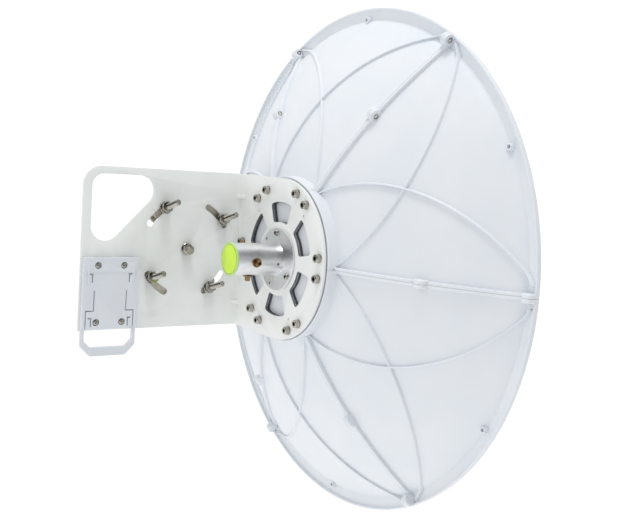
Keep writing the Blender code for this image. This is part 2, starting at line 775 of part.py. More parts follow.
def saddle_mesh():
    """The mast saddle: an I-shaped web with V jaws, its pad, and the welded pivot stud."""
    web_near = -PAD_HEIGHT - WEB
    web_far = -PAD_HEIGHT
    low, high = BAR_HEIGHTS
    corner = BAR_HALF_LENGTH - BAR_CORNER
    upper = [
        (WAIST_HALF_WIDTH, low),
        (BAR_HALF_LENGTH, low),
        (BAR_HALF_LENGTH, high - BAR_CORNER),
        (corner, high),
        (-corner, high),
        (-BAR_HALF_LENGTH, high - BAR_CORNER),
        (-BAR_HALF_LENGTH, low),
        (-WAIST_HALF_WIDTH, low),
    ]
    outline = upper + [(-across, -up) for across, up in upper]
    web = prism(outline, web_near, web_far, flat_in_yz)
    jaws = jaw(web_far - OVERLAP, web_far + SADDLE_JAW_REACH, (low, high))
    jaw(web_far - OVERLAP, web_far + SADDLE_JAW_REACH, (-high, -low), jaws)
    pad = box((web_far - OVERLAP, -PAD_HALF[0], -PAD_HALF[1]), (0.0, PAD_HALF[0], PAD_HALF[1]))
    stud_tip = PLATE_NEAR_X - PIVOT_STUD_REACH
    stud = rod((web_near + OVERLAP, 0, 0), (stud_tip, 0, 0), PIVOT_STUD_RADIUS, 16)
    drop = ((web_near + web_far) / 2 - PLATE_NEAR_X - SHEET / 2) * math.tan(math.radians(CLAMP_DROOP))
    holes = bmesh.new()
    for across, up in clamp_bolt_places():
        near = (web_near - CUT_MARGIN, across, up - drop)
        far = (web_far + CUT_MARGIN, across, up - drop)
        rod(near, far, SADDLE_HOLE_RADIUS, 16, holes)
    return combine("pole_saddle", web, [jaws, pad, stud], [holes])


def clamp_bolt_places():
    """Places of the four clamp bolts across and up the saddle."""
    half_y = BOLT_SPAN_Y / 2
    half_z = BOLT_SPAN_Z / 2
    return [(-half_y, half_z), (half_y, half_z), (-half_y, -half_z), (half_y, -half_z)]


def clamp_head_face():
    """How far along its axis, from the side plate's middle, a clamp bolt's head sits."""
    return CLAMP_BOLT_LENGTH - CLAMP_BOLT_OUTREACH - SHEET


def outer_clamp_mesh():
    """A loose V clamp; its frame has the bolts' middle at the origin and the bolts along x."""
    web_far = clamp_head_face() - FIT_GAP
    web_near = web_far - WEB
    end = CLAMP_HALF_LENGTH
    side = CLAMP_HALF_HEIGHT
    upper = [
        (end, side - CLAMP_CORNER),
        (end - CLAMP_CORNER, side),
        (CLAMP_CORNER - end, side),
        (-end, side - CLAMP_CORNER),
    ]
    outline = upper + [(-across, -up) for across, up in upper]
    web = prism(outline, web_near, web_far, flat_in_yz)
    jaws = jaw(web_near + OVERLAP, web_near - CLAMP_JAW_REACH, (-side, side))
    holes = bmesh.new()
    for across in (-BOLT_SPAN_Y / 2, BOLT_SPAN_Y / 2):
        near = (web_near - CUT_MARGIN, across, 0)
        far = (web_far + CUT_MARGIN, across, 0)
        rod(near, far, CLAMP_BOLT_RADIUS + FIT_GAP, 16, holes)
    return combine("outer_clamp", web, [jaws], [holes])


def clamp_bolt_mesh():
    """A long clamp bolt along x with its hexagon head, and the nut and washer at the near end."""
    head_face = clamp_head_face()
    tip = head_face - CLAMP_BOLT_LENGTH
    tilt = (CLAMP_WASHER_RADIUS + FIT_GAP) * math.tan(math.radians(CLAMP_DROOP))
    washer_face = -SHEET / 2 - tilt - FIT_GAP
    nut_face = washer_face - CLAMP_WASHER
    corner = CLAMP_NUT_ACROSS / math.sqrt(3)
    shank = rod((tip, 0, 0), (head_face + OVERLAP, 0, 0), CLAMP_BOLT_RADIUS, 16)
    head = rod((head_face, 0, 0), (head_face + CLAMP_HEAD_HEIGHT, 0, 0), corner, 6)
    washer = rod((nut_face, 0, 0), (washer_face, 0, 0), CLAMP_WASHER_RADIUS, 20)
    nut = rod((nut_face - CLAMP_NUT_HEIGHT, 0, 0), (nut_face + OVERLAP, 0, 0), corner, 6)
    return combine("clamp_bolt", shank, [head, washer, nut])


def pivot_nut_mesh():
    """The pivot's nut and washer on the saddle's stud."""
    face = PLATE_NEAR_X - FIT_GAP
    nut_face = face - CLAMP_WASHER
    nut_top = nut_face - PIVOT_NUT_HEIGHT
    washer = rod((nut_face, 0, 0), (face, 0, 0), PIVOT_WASHER_RADIUS, 20)
    nut = rod((nut_top, 0, 0), (nut_face + OVERLAP, 0, 0), PIVOT_NUT_ACROSS / math.sqrt(3), 6)
    bore = rod((nut_top - CUT_MARGIN, 0, 0), (face + CUT_MARGIN, 0, 0), PIVOT_STUD_RADIUS + FIT_GAP, 16)
    return combine("pivot_nut", washer, [nut], [bore])


def mirror_depth(outline):
    """An outline mirrored about the clip's middle depth."""
    return [(sum(CLIP_DEPTHS) - depth, height) for depth, height in outline]


def both_sides(offsets, low, high, shape):
    """A prism given from the clip's near edge inwards, and its twin at the far edge."""
    outline = [(CLIP_DEPTHS[0] + offset, height) for offset, height in offsets]
    prism(outline, low, high, flat_in_zy, shape)
    prism(mirror_depth(outline), low, high, flat_in_zy, shape)
    return shape


def bail_outline(leg, bar, chamfer):
    """The bail's outline in z and y, drawn in by its legs' and its bar's width."""
    low = BAIL_LOW + bar
    top = CLIP_HEIGHTS[0] + OVERLAP
    near = CLIP_DEPTHS[0] + leg
    half = [(near, top), (near, low + chamfer), (near + chamfer, low)]
    return half + list(reversed(mirror_depth(half)))


def clip_slits(low, high):
    """The two stepped slits that free the bail's arms from the clip's body."""
    below = CLIP_HEIGHTS[0] - CUT_MARGIN
    under = CLIP_SLIT_STEP - CLIP_SLIT
    offsets = [
        (CLIP_ARM, CLIP_SLIT_TOP),
        (CLIP_ARM + CLIP_SLIT, CLIP_SLIT_TOP),
        (CLIP_ARM + CLIP_SLIT, under),
        (CLIP_LEG + CLIP_SLIT, under),
        (CLIP_LEG + CLIP_SLIT, below),
        (CLIP_LEG, below),
        (CLIP_LEG, CLIP_SLIT_STEP),
        (CLIP_ARM, CLIP_SLIT_STEP),
    ]
    return both_sides(offsets, low, high, bmesh.new())


def clip_hooks(low, high):
    """The angled pockets beside the four hooks."""
    shape = bmesh.new()
    outer, inner = CLIP_HOOK
    for top in CLIP_HOOK_TOPS:
        offsets = [
            (outer, top),
            (inner, top),
            (inner, top - CLIP_HOOK_DROP),
            (inner - CLIP_HOOK_GAP, top - CLIP_HOOK_DROP),
            (inner - CLIP_HOOK_GAP, top - CLIP_HOOK_GAP),
            (outer, top - CLIP_HOOK_GAP),
        ]
        both_sides(offsets, low, high, shape)
    return shape


def radio_clip_mesh():
    """The moulded clip for a radio: base, raised panel and rails, spring arms and the bail below."""
    face = SIDE_FACE + FIT_GAP
    top = face + CLIP_BASE
    base = box((face, CLIP_HEIGHTS[0], CLIP_DEPTHS[0]), (top, CLIP_HEIGHTS[1], CLIP_DEPTHS[1]))
    panel_low = (top - OVERLAP, CLIP_PANEL_LOW, CLIP_DEPTHS[0])
    panel = box(panel_low, (top + CLIP_PANEL_RISE, CLIP_HEIGHTS[1], CLIP_DEPTHS[1]))
    start, end = CLIP_RAIL
    low, high = CLIP_RAIL_HEIGHTS
    rail = [(start, low), (end, low), (end, high), (start, high)]
    rails = both_sides(rail, top - OVERLAP, top + CLIP_RAIL_RISE, bmesh.new())
    outline = bail_outline(0.0, 0.0, BAIL_CHAMFER)
    outline += reversed(bail_outline(CLIP_LEG, BAIL_BAR, BAIL_CHAMFER - CLIP_LEG))
    bail = prism(outline, face + BAIL_FACES[0], face + BAIL_FACES[1], flat_in_zy)
    over = top + CUT_MARGIN
    cuts = [
        clip_slits(face - CUT_MARGIN, over),
        clip_hooks(top - CLIP_HOOK_DEPTH, over),
        clip_hole_cutter(face - CUT_MARGIN, over, CLIP_SCREW_HOLE_RADIUS, 8),
        clip_hole_cutter(top - CLIP_RECESS, over, CLIP_RECESS_RADIUS, 16),
    ]
    return combine("radio_clip", base, [panel, rails, bail], cuts)


def clip_screw_mesh():
    """A clip screw: its head in the clip's recess and a shank through the side plate."""
    seat = SIDE_FACE + FIT_GAP + CLIP_BASE - CLIP_RECESS + FIT_GAP
    head = rod((seat, 0, 0), (seat + CLIP_SCREW_HEAD, 0, 0), CLIP_SCREW_HEAD_RADIUS, 12)
    shank = rod((SIDE_BACK - CLIP_SCREW_END, 0, 0), (seat + OVERLAP, 0, 0), CLIP_SCREW_RADIUS, 8)
    return combine("clip_screw", head, [shank])


def build_dish(dish, finishes):
    """The reflector, the hub bolts and the feed."""
    petal = petal_mesh()
    for index in range(PETAL_COUNT):
        place(f"petal_{index + 1}", petal, finishes["petal"], dish, SEAM_ANGLE * index)
    place("bracket_plate", bracket_plate_mesh(), finishes["bracket"], dish)
    bolt = hub_bolt_mesh()
    for index, angle in enumerate(hub_bolt_angles()):
        place(f"hub_bolt_{index + 1:02d}", bolt, finishes["steel"], dish, angle)
    place("feed_tube", feed_tube_mesh(), finishes["tube"], dish)
    place("feed_cap", feed_cap_mesh(), finishes["cap"], dish)
    screw = tube_screw_mesh()
    for number, angle in enumerate(TUBE_SCREW_ANGLES, start=1):
        place(f"tube_screw_{number}", screw, finishes["brass"], dish, angle)
    place("feed_boom", feed_boom_mesh(), finishes["tube"], dish)
    place("feed_cone", feed_cone_mesh(), finishes["cone"], dish)
    splash_rear = CONE_END - FIT_GAP
    splash = rod((0, 0, splash_rear - SPLASH_WALL), (0, 0, splash_rear), SPLASH_RADIUS, 32)
    place("sub_reflector", to_mesh(splash, "sub_reflector"), finishes["tube"], dish)


def build_clip(dish, finishes):
    """The radio clip and its screws."""
    place("radio_clip", radio_clip_mesh(), finishes["clip"], dish)
    screw = clip_screw_mesh()
    for number, (height, depth) in enumerate(clip_screw_places(), start=1):
        piece = place(f"clip_screw_{number}", screw, finishes["steel"], dish)
        piece.location = Vector((0, height, depth)) * MM


def build_mast_bracket(finishes):
    """The saddle, the two loose clamps with their bolts, and the pivot nut."""
    place("pole_saddle", saddle_mesh(), finishes["steel"])
    place("pivot_nut", pivot_nut_mesh(), finishes["steel"])
    clamp = outer_clamp_mesh()
    bolt = clamp_bolt_mesh()
    droop = Matrix.Rotation(math.radians(CLAMP_DROOP), 4, "Y")
    plate_middle = PLATE_NEAR_X + SHEET / 2
    number = 0
    for name, height in (("upper", BOLT_SPAN_Z / 2), ("lower", -BOLT_SPAN_Z / 2)):
        centre = Vector((plate_middle, 0, height)) * MM
        hang = empty(f"{name}_clamp_hang", Matrix.Translation(centre) @ droop)
        place(f"outer_clamp_{name}", clamp, finishes["steel"], hang)
        for across in (-BOLT_SPAN_Y / 2, BOLT_SPAN_Y / 2):
            number += 1
            piece = place(f"clamp_bolt_{number}", bolt, finishes["steel"], hang)
            piece.location = Vector((0, across, 0)) * MM


def main():
    """Build the whole antenna."""
    clear_scene()
    finishes = {
        "petal": finish("moulded_white_plastic", (0.80, 0.83, 0.86), 0.45, 0.0),
        "bracket": finish("powder_coated_steel", (0.68, 0.70, 0.68), 0.5, 0.0),
        "steel": finish("stainless_steel", (0.55, 0.54, 0.52), 0.3, 1.0),
        "tube": finish("satin_aluminium", (0.75, 0.76, 0.77), 0.3, 1.0),
        "cap": finish("lime_plastic", (0.60, 0.95, 0.10), 0.35, 0.0),
        "brass": finish("brass", (0.55, 0.40, 0.20), 0.35, 1.0),
        "cone": finish("dielectric_plastic", (0.75, 0.75, 0.72), 0.5, 0.0),
        "clip": finish("moulded_clip_plastic", (0.68, 0.69, 0.76), 0.45, 0.0),
    }
    head = empty("elevation_axis", Matrix.Rotation(math.radians(-ELEVATION), 4, "X"))
    swap = Matrix(((-1, 0, 0, 0), (0, 0, 1, 0), (0, 1, 0, 0), (0, 0, 0, 1)))
    centre = Vector((SADDLE_PAD_X, -PIVOT_DEPTH, 0)) * MM
    dish = empty("dish_axes", Matrix.Translation(centre) @ swap, head)
    build_dish(dish, finishes)
    build_clip(dish, finishes)
    build_mast_bracket(finishes)
    bpy.context.view_layer.update()


main()
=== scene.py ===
"""Sectional dish antenna on its mast bracket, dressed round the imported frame.

Sizes are in millimetres and angles in degrees until a piece is settled. Three sets of axes are used:
  dish axes: x to the right and y up as seen from behind, z along the beam axis to the rear, with
  the origin in the rim's plane;
  mast axes: x from the side plate to the mast, y to the rear, z up, with the origin on the saddle's pad;
  clamp axes: the mast axes moved to a pair of clamp bolts and turned with their droop.
"""

import logging
import math
from dataclasses import dataclass
from enum import Enum
from itertools import product
from typing import Callable, Iterable, Optional, Sequence

import bmesh
import bpy
from bmesh.types import BMEdge, BMesh, BMFace, BMVert
from mathutils import Matrix, Vector


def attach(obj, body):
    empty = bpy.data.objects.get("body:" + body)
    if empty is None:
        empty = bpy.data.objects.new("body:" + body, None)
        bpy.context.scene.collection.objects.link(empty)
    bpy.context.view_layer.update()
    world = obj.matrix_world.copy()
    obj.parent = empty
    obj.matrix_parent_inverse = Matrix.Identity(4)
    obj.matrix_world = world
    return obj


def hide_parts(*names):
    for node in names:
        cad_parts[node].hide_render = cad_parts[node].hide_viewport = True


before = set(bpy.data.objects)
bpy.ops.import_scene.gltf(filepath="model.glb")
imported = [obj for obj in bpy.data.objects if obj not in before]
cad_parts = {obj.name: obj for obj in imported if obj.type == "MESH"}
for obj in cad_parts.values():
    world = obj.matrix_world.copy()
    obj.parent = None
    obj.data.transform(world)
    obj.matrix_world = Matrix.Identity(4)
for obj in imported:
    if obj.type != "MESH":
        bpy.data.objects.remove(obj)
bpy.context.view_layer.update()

log = logging.getLogger("antenna")

Pair = tuple[float, float]
Spot = tuple[float, float, float]
Outline = Sequence[Pair]

# Millimetres in metres, and how close points, or levels, lie to count as one.
MM = 0.001
WELD = 0.0005
LEVEL = 0.01
FULL_TURN = 2 * math.pi
QUARTER_TURN = math.pi / 2
ORIGIN = Vector((0.0, 0.0, 0.0))
AS_DRAWN = Matrix.Identity(4)
LAID_DOWN = Matrix.Rotation(QUARTER_TURN, 4, "Y")

# The dish leans back by the beam's tilt about the pivot; its centre is given from there, in metres.
BEAM_TILT = -9.3
RIM_CENTRE = (-0.1075, -0.1926, 0.0)
FROM_BEHIND = Matrix(((-1, 0, 0, 0), (0, 0, 1, 0), (0, 1, 0, 0), (0, 0, 0, 1)))
MAST_AXES = Matrix.Scale(MM, 4)
DISH_AXES = (
    Matrix.Rotation(math.radians(BEAM_TILT), 4, "X")
    @ Matrix.Translation(RIM_CENTRE)
    @ FROM_BEHIND
    @ MAST_AXES
)

# Height and depth of the clip's four screws on the side plate.
CLIP_SCREW_SPOTS = tuple(product((-19.5, -90.5), (280.5, 314.0)))


class Body(Enum):
    """The two bodies that pieces ride on."""

    HEAD = "antenna_head"
    MAST = "mast_bracket"


AXES = {Body.HEAD: DISH_AXES, Body.MAST: MAST_AXES}


class Slot(Enum):
    """The record's material slots."""

    PETAL = "petal_plastic"
    BRACKET = "bracket_coat"
    STEEL = "stainless_steel"
    ALUMINIUM = "satin_aluminium"
    CAP = "lime_cap"
    BRASS = "brass_screw"
    FEED = "feed_plastic"
    CLIP = "clip_plastic"


class Fusing(Enum):
    """How one solid is worked into another."""

    JOIN = "UNION"
    CUT = "DIFFERENCE"
    KEEP = "INTERSECT"


def linear(colour: str) -> tuple[float, float, float, float]:
    """Turn an sRGB hex colour into linear values, by the standard's own curve.

    Args:
        colour: Six hex digits, with a leading number sign.

    Returns:
        Red, green, blue and an alpha of one.
    """
    parts = [int(colour[start:start + 2], 16) / 255 for start in (1, 3, 5)]
    values = [part / 12.92 if part <= 0.04045 else ((part + 0.055) / 1.055) ** 2.4 for part in parts]
    return (*values, 1.0)


def add_node(tree: bpy.types.NodeTree, kind: str, settings: dict,
             links: Optional[dict] = None) -> bpy.types.Node:
    """Add a shader node.

    Args:
        tree: The node tree that it goes in.
        kind: The node's type name.
        settings: Values by socket or property name.
        links: Output sockets by the name or number of the input that they feed.

    Returns:
        The new node.
    """
    node = tree.nodes.new(kind)
    for name, value in settings.items():
        if name in node.inputs:
            node.inputs[name].default_value = value
        else:
            setattr(node, name, value)
    for name, source in (links or {}).items():
        tree.links.new(source, node.inputs[name])
    return node


@dataclass(frozen=True)
class Finish:
    """A surface: what it is made of, how it was made and what the light does on it."""

    name: str
    colour: str
    roughness: float
    metallic: float = 0.0
    ior: float = 1.5

    def shader(self) -> tuple[bpy.types.Material, bpy.types.NodeTree, bpy.types.Node]:
        """Start the material.

        Returns:
            The material, its node tree and its main shader.
        """
        made = bpy.data.materials.new(self.name)
        made.use_nodes = True
        main_shader = made.node_tree.nodes["Principled BSDF"]
        main_shader.inputs["Base Color"].default_value = linear(self.colour)
        main_shader.inputs["Roughness"].default_value = self.roughness
        main_shader.inputs["Metallic"].default_value = self.metallic
        main_shader.inputs["IOR"].default_value = self.ior
        return made, made.node_tree, main_shader

    def noise(self, tree: bpy.types.NodeTree, pitch: float, detail: float = 2.0) -> bpy.types.NodeSocket:
        """A noise pattern on object coordinates.

        Args:
            tree: The node tree.
            pitch: Size of the pattern's spots.
            detail: Octaves of finer noise.

        Returns:
            The pattern's grey value.
        """
        place = add_node(tree, "ShaderNodeTexCoord", {})
        settings = {"Scale": 1 / (pitch * MM), "Detail": detail}
        pattern = add_node(tree, "ShaderNodeTexNoise", settings, {"Vector": place.outputs["Object"]})
        return pattern.outputs["Fac"]


@dataclass(frozen=True)
class Grained(Finish):
    """A finish with slow clouds of a second colour, uneven gloss and a fine relief.

    A gloss pitch of zero lets the gloss follow the relief.
    """

    second_colour: str = "#FFFFFF"
    cloud_pitch: float = 60.0
    gloss_pitch: float = 0.0
    gloss_range: Pair = (-0.05, 0.05)
    grain_pitch: float = 1.0
    grain_detail: float = 2.0
    grain_depth: float = 0.02
    grain_share: float = 0.5
    cloud_stops: Pair = (0.35, 0.65)
    gloss_stops: Pair = (0.3, 0.7)

    def make(self) -> bpy.types.Material:
        """Build the material.

        Returns:
            The material.
        """
        made, tree, shader = self.shader()
        clouds = add_node(tree, "ShaderNodeValToRGB", {}, {"Fac": self.noise(tree, self.cloud_pitch)})
        colours = (self.colour, self.second_colour)
        for stop, position, colour in zip(clouds.color_ramp.elements, self.cloud_stops, colours):
            stop.position = position
            stop.color = linear(colour)
        grain = self.noise(tree, self.grain_pitch, self.grain_detail)
        gloss = self.noise(tree, self.gloss_pitch) if self.gloss_pitch else grain
        (dark, light), (low, high) = self.gloss_stops, self.gloss_range
        limits = {"From Min": dark, "From Max": light, "To Min": self.roughness + low,
                  "To Max": self.roughness + high}
        spread = add_node(tree, "ShaderNodeMapRange", limits, {"Value": gloss})
        depth = {"Distance": self.grain_depth * MM, "Strength": self.grain_share}
        bump = add_node(tree, "ShaderNodeBump", depth, {"Height": grain})
        tree.links.new(clouds.outputs["Color"], shader.inputs["Base Color"])
        tree.links.new(spread.outputs["Result"], shader.inputs["Roughness"])
        tree.links.new(bump.outputs["Normal"], shader.inputs["Normal"])
        return made


@dataclass(frozen=True)
class MouldedPlastic(Grained):
    """Injection-moulded plastic: an even body colour, a fine spark-eroded grain and slow waviness."""

    gloss_pitch: float = 12.0
    gloss_range: Pair = (-0.04, 0.05)
    grain_pitch: float = 0.8
    grain_detail: float = 3.0
    grain_share: float = 0.6


@dataclass(frozen=True)
class PowderCoat(Grained):
    """Baked polyester powder on steel: a pale satin skin with a fine orange-peel ripple."""

    cloud_pitch: float = 45.0
    gloss_pitch: float = 9.0
    grain_pitch: float = 2.2
    grain_depth: float = 0.06


@dataclass(frozen=True)
class ToolMarked(Grained):
    """Bare metal with the fine marks of its making, which break its reflections up and soften them."""

    cloud_pitch: float = 6.0
    gloss_range: Pair = (-0.06, 0.08)
    grain_pitch: float = 0.5
    grain_detail: float = 3.0
    grain_depth: float = 0.01


@dataclass(frozen=True)
class TintedCap(Finish):
    """Moulded polyethylene that lets some light through, so that its rim glows paler."""

    glow_weight: float = 0.35
    glow_reach: float = 4.0
    glow_colour: Spot = (1.0, 1.0, 0.3)
    grain_pitch: float = 1.2
    grain_depth: float = 0.02
    grain_share: float = 0.5

    def make(self) -> bpy.types.Material:
        """Build the material.

        Returns:
            The material.
        """
        made, tree, shader = self.shader()
        shader.inputs["Subsurface Weight"].default_value = self.glow_weight
        shader.inputs["Subsurface Radius"].default_value = self.glow_colour
        shader.inputs["Subsurface Scale"].default_value = self.glow_reach * MM
        depth = {"Distance": self.grain_depth * MM, "Strength": self.grain_share}
        bump = add_node(tree, "ShaderNodeBump", depth, {"Height": self.noise(tree, self.grain_pitch)})
        tree.links.new(bump.outputs["Normal"], shader.inputs["Normal"])
        return made


# Moulded polypropylene: a cool white, half matt, that shades softly over the bowl and the ribs.
PETAL_FINISH = MouldedPlastic("moulded_glass_filled_polypropylene", "#E3E7EC", 0.42, second_colour="#DFE4EA")
# Powder coat: a warmer, slightly greenish white beside the petals, satin and faintly rippled.
BRACKET_FINISH = PowderCoat("powder_coated_sheet_steel", "#EDF0EE", 0.48, second_colour="#E9ECEA")
# Turned stainless steel: small bright heads with hard light and dark reflections.
STEEL_FINISH = ToolMarked("bright_turned_stainless_steel", "#BDB9B2", 0.18, 1.0, second_colour="#ABA69E")
# Zinc on pressed steel: a duller, yellowish grey without clear reflections.
PLATED_FINISH = ToolMarked("zinc_plated_pressed_steel", "#C9C3B6", 0.46, 1.0, second_colour="#BBB4A6")
# Turned aluminium: pale and silky, with a soft light band along the tube.
ALUMINIUM_FINISH = ToolMarked("satin_turned_aluminium", "#E8E9EA", 0.34, 1.0, second_colour="#E0E2E4")
# Rolled brass: dull brown heads that stand out from the steel ones.
BRASS_FINISH = ToolMarked("dull_rolled_brass", "#9A7F5A", 0.32, 1.0, second_colour="#7A6342")
# Moulded polyethylene: a bright lime face, as if lit from inside, and a paler, glassier edge.
CAP_FINISH = TintedCap("moulded_lime_polyethylene", "#D2F650", 0.32)
RIM_FINISH = TintedCap("clear_edge_of_lime_polyethylene", "#B9D98A", 0.25)
# Painted shade: a dark grey on the walls of the petals' window pockets, where shade falls under the plate.
POCKET_WALL_SHADE_FINISH = MouldedPlastic("painted_shade_on_pocket_walls", "#4A4E54", 0.6, second_colour="#3E4248")
# Painted shade: a mid grey on the walls of the plate's windows, where the sheet's thickness shows.
WINDOW_WALL_SHADE_FINISH = PowderCoat("painted_shade_on_plate_window_walls", "#7C8084", 0.5, second_colour="#6C7074")
# Painted shade: near-black steel on the inside of each screw's socket.
SHADOW_FINISH = ToolMarked("painted_shade_in_screw_sockets", "#24221F", 0.55, 0.6, second_colour="#1C1A18")
# Machined acetal: a warm, waxy white.
FEED_FINISH = MouldedPlastic("machined_white_acetal", "#E6E4DC", 0.38, second_colour="#E2DFD6")
# Moulded ABS: a bluish white, a shade greyer than the petals.
CLIP_FINISH = MouldedPlastic("moulded_white_abs", "#DCE0E6", 0.40, second_colour="#D8DDE4")


def settle(name: str, shape: BMesh, material: bpy.types.Material, stands_for: str = "",
           place: Matrix = AS_DRAWN, body: Body = Body.HEAD, sharp: float = 32.0,
           recess: Optional[bpy.types.Material] = None) -> None:
    """Make a shape a piece of the antenna.

    Args:
        name: The piece's name.
        shape: The shape, which is kept for more copies.
        material: Its finish.
        stands_for: The solid that it stands for, if there is one.
        place: From the axes that it is drawn in to those of its body.
        body: What the piece rides on.
        sharp: Angle above which an edge stays crisp.
        recess: The finish that paints shade on the faces that are marked, if there are any.
    """
    mesh = bpy.data.meshes.new(name)
    mesh.materials.append(material)
    if recess:
        mesh.materials.append(recess)
    shape.to_mesh(mesh)
    mesh.transform(AXES[body] @ place)
    mesh.shade_smooth()
    mesh.set_sharp_from_angle(angle=math.radians(sharp))
    piece = bpy.data.objects.new(name, mesh)
    bpy.context.scene.collection.objects.link(piece)
    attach(piece, body.value)
    if stands_for:
        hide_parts(stands_for)
    log.info("%s: %d faces on %s", name, len(mesh.polygons), body.value)


def mark_faces(shape: BMesh, reach: Pair, levels: Pair, walls_below: Optional[float] = None) -> BMesh:
    """Mark the faces in a zone round the z axis, which take a second finish that paints shade on them.

    Args:
        shape: The solid.
        reach: The zone's inner and outer radius.
        levels: Its lower and upper level.
        walls_below: An area; if it is given, only upright faces smaller than that are marked.

    Returns:
        The same solid.
    """
    for face in shape.faces:
        middle = face.calc_center_median()
        marked = reach[0] < middle.xy.length < reach[1] and levels[0] < middle.z < levels[1]
        if walls_below is not None:
            marked = marked and abs(face.normal.z) < 0.5 and face.calc_area() < walls_below
        face.material_index = int(marked)
    return shape


def point_on(radius: float, degrees: float, height: float = 0.0) -> Vector:
    """A point from its radius and angle about the z axis."""
    angle = math.radians(degrees)
    return Vector((radius * math.cos(angle), radius * math.sin(angle), height))


def about_z(degrees: float) -> Matrix:
    """A turn about the z axis."""
    return Matrix.Rotation(math.radians(degrees), 4, "Z")


def face_out(shape: BMesh) -> BMesh:
    """Weld doubles and point all faces outwards.

    Args:
        shape: The closed shape.

    Returns:
        The same shape.
    """
    bmesh.ops.remove_doubles(shape, verts=shape.verts, dist=WELD)
    bmesh.ops.recalc_face_normals(shape, faces=shape.faces)
    return shape


def moved(shape: BMesh, matrix: Matrix) -> BMesh:
    """Move, turn or mirror a whole shape."""
    bmesh.ops.transform(shape, matrix=matrix, verts=shape.verts)
    return face_out(shape)


def fuse(base: BMesh, *steps: tuple[Fusing, Iterable[BMesh]]) -> BMesh:
    """Work closed solids into a base.

    Args:
        base: The solid to start from; it is used up.
        steps: Whether to join or cut, and the solids for it, in order; they are used up.

    Returns:
        The finished solid.
    """
    objects = []
    for part in [base] + [part for _, parts in steps for part in parts]:
        mesh = bpy.data.meshes.new("work")
        face_out(part).to_mesh(mesh)
        part.free()
        worked = bpy.data.objects.new("work", mesh)
        bpy.context.scene.collection.objects.link(worked)
        objects.append(worked)
    tools = iter(objects[1:])
    for kind, parts in steps:
        for _ in parts:
            step = objects[0].modifiers.new("step", "BOOLEAN")
            step.operation = kind.value
            step.solver = "EXACT"
            step.object = next(tools)
    bpy.context.view_layer.update()
    result = objects[0].evaluated_get(bpy.context.evaluated_depsgraph_get())
    shape = bmesh.new()
    shape.from_mesh(result.to_mesh())
    for worked in objects:
        mesh = worked.data
        bpy.data.objects.remove(worked, do_unlink=True)
        bpy.data.meshes.remove(mesh)
    return face_out(shape)


def join_up(*shapes: BMesh) -> BMesh:
    """Put several shapes in one, as they are.

    Args:
        shapes: The shapes; all but the first are used up.

    Returns:
        The first shape with the others in it.
    """
    for extra in shapes[1:]:
        mesh = bpy.data.meshes.new("carry")
        extra.to_mesh(mesh)
        extra.free()
        shapes[0].from_mesh(mesh)
        bpy.data.meshes.remove(mesh)
    return shapes[0]


def soften(shape: BMesh, offset: float, segments: int = 2, above: float = 40.0,
           where: Optional[Callable[[BMEdge], bool]] = None) -> BMesh:
    """Round the edges where two faces meet at more than an angle.

    Args:
        shape: The solid.
        offset: Width of the rounding.
        segments: Steps across it.
        above: The angle.
        where: A further test that an edge has to pass.

    Returns:
        The same solid.
    """
    limit = math.radians(above)
    edges = [
        edge
        for edge in shape.edges
        if len(edge.link_faces) == 2 and edge.calc_face_angle(0.0) > limit and (where is None or where(edge))
    ]
    bmesh.ops.bevel(shape, geom=edges, offset=offset, offset_type="OFFSET", segments=segments, profile=0.5,
                    affect="EDGES", clamp_overlap=True, material=-1)
    return face_out(shape)


def round_corners(shape: BMesh, axis: str, radius: float, segments: int = 6,
                  where: Optional[Callable[[Vector], bool]] = None) -> BMesh:
    """Round the corners of a prism that run along one axis.

    Args:
        shape: The prism.
        axis: The axis that the corners run along.
        radius: Width of the rounding.
        segments: Steps across it.
        where: A test on the corner's middle.

    Returns:
        The same prism.
    """
    index = "xyz".index(axis)

    def upright(edge: BMEdge) -> bool:
        """Find whether a corner runs along the axis and passes the test.

        Args:
            edge: The corner.

        Returns:
            Whether it does.
        """
        along = edge.verts[1].co - edge.verts[0].co
        middle = (edge.verts[1].co + edge.verts[0].co) / 2
        return abs(along[index]) > 0.99 * along.length and (where is None or where(middle))

    return soften(shape, radius, segments, 30.0, upright)


def bar(start: Sequence[float], end: Sequence[float], radius: float, sides: int = 32) -> BMesh:
    """A round or many-sided bar between two points.

    Args:
        start: One end's centre.
        end: The other end's centre.
        radius: Distance from its axis to its corners.
        sides: Number of sides.

    Returns:
        The bar.
    """
    low = Vector(start)
    high = Vector(end)
    turn = Vector((0, 0, 1)).rotation_difference(high - low).to_matrix().to_4x4()
    shape = bmesh.new()
    bmesh.ops.create_cone(shape, cap_ends=True, segments=sides, radius1=radius, radius2=radius,
                          depth=(high - low).length, matrix=Matrix.Translation((low + high) / 2) @ turn)
    return shape


def upright_bar(foot: Vector, height: float, radius: float, sides: int = 20) -> BMesh:
    """A bar that stands on a point."""
    return bar(foot, foot + Vector((0, 0, height)), radius, sides)


def block(low: Sequence[float], high: Sequence[float]) -> BMesh:
    """A block between two corners.

    Args:
        low: One corner.
        high: The corner across from it.

    Returns:
        The block.
    """
    start = Vector(low)
    end = Vector(high)
    shape = bmesh.new()
    size = Matrix.Diagonal((*(end - start), 1.0))
    bmesh.ops.create_cube(shape, size=1.0, matrix=Matrix.Translation((start + end) / 2) @ size)
    return shape


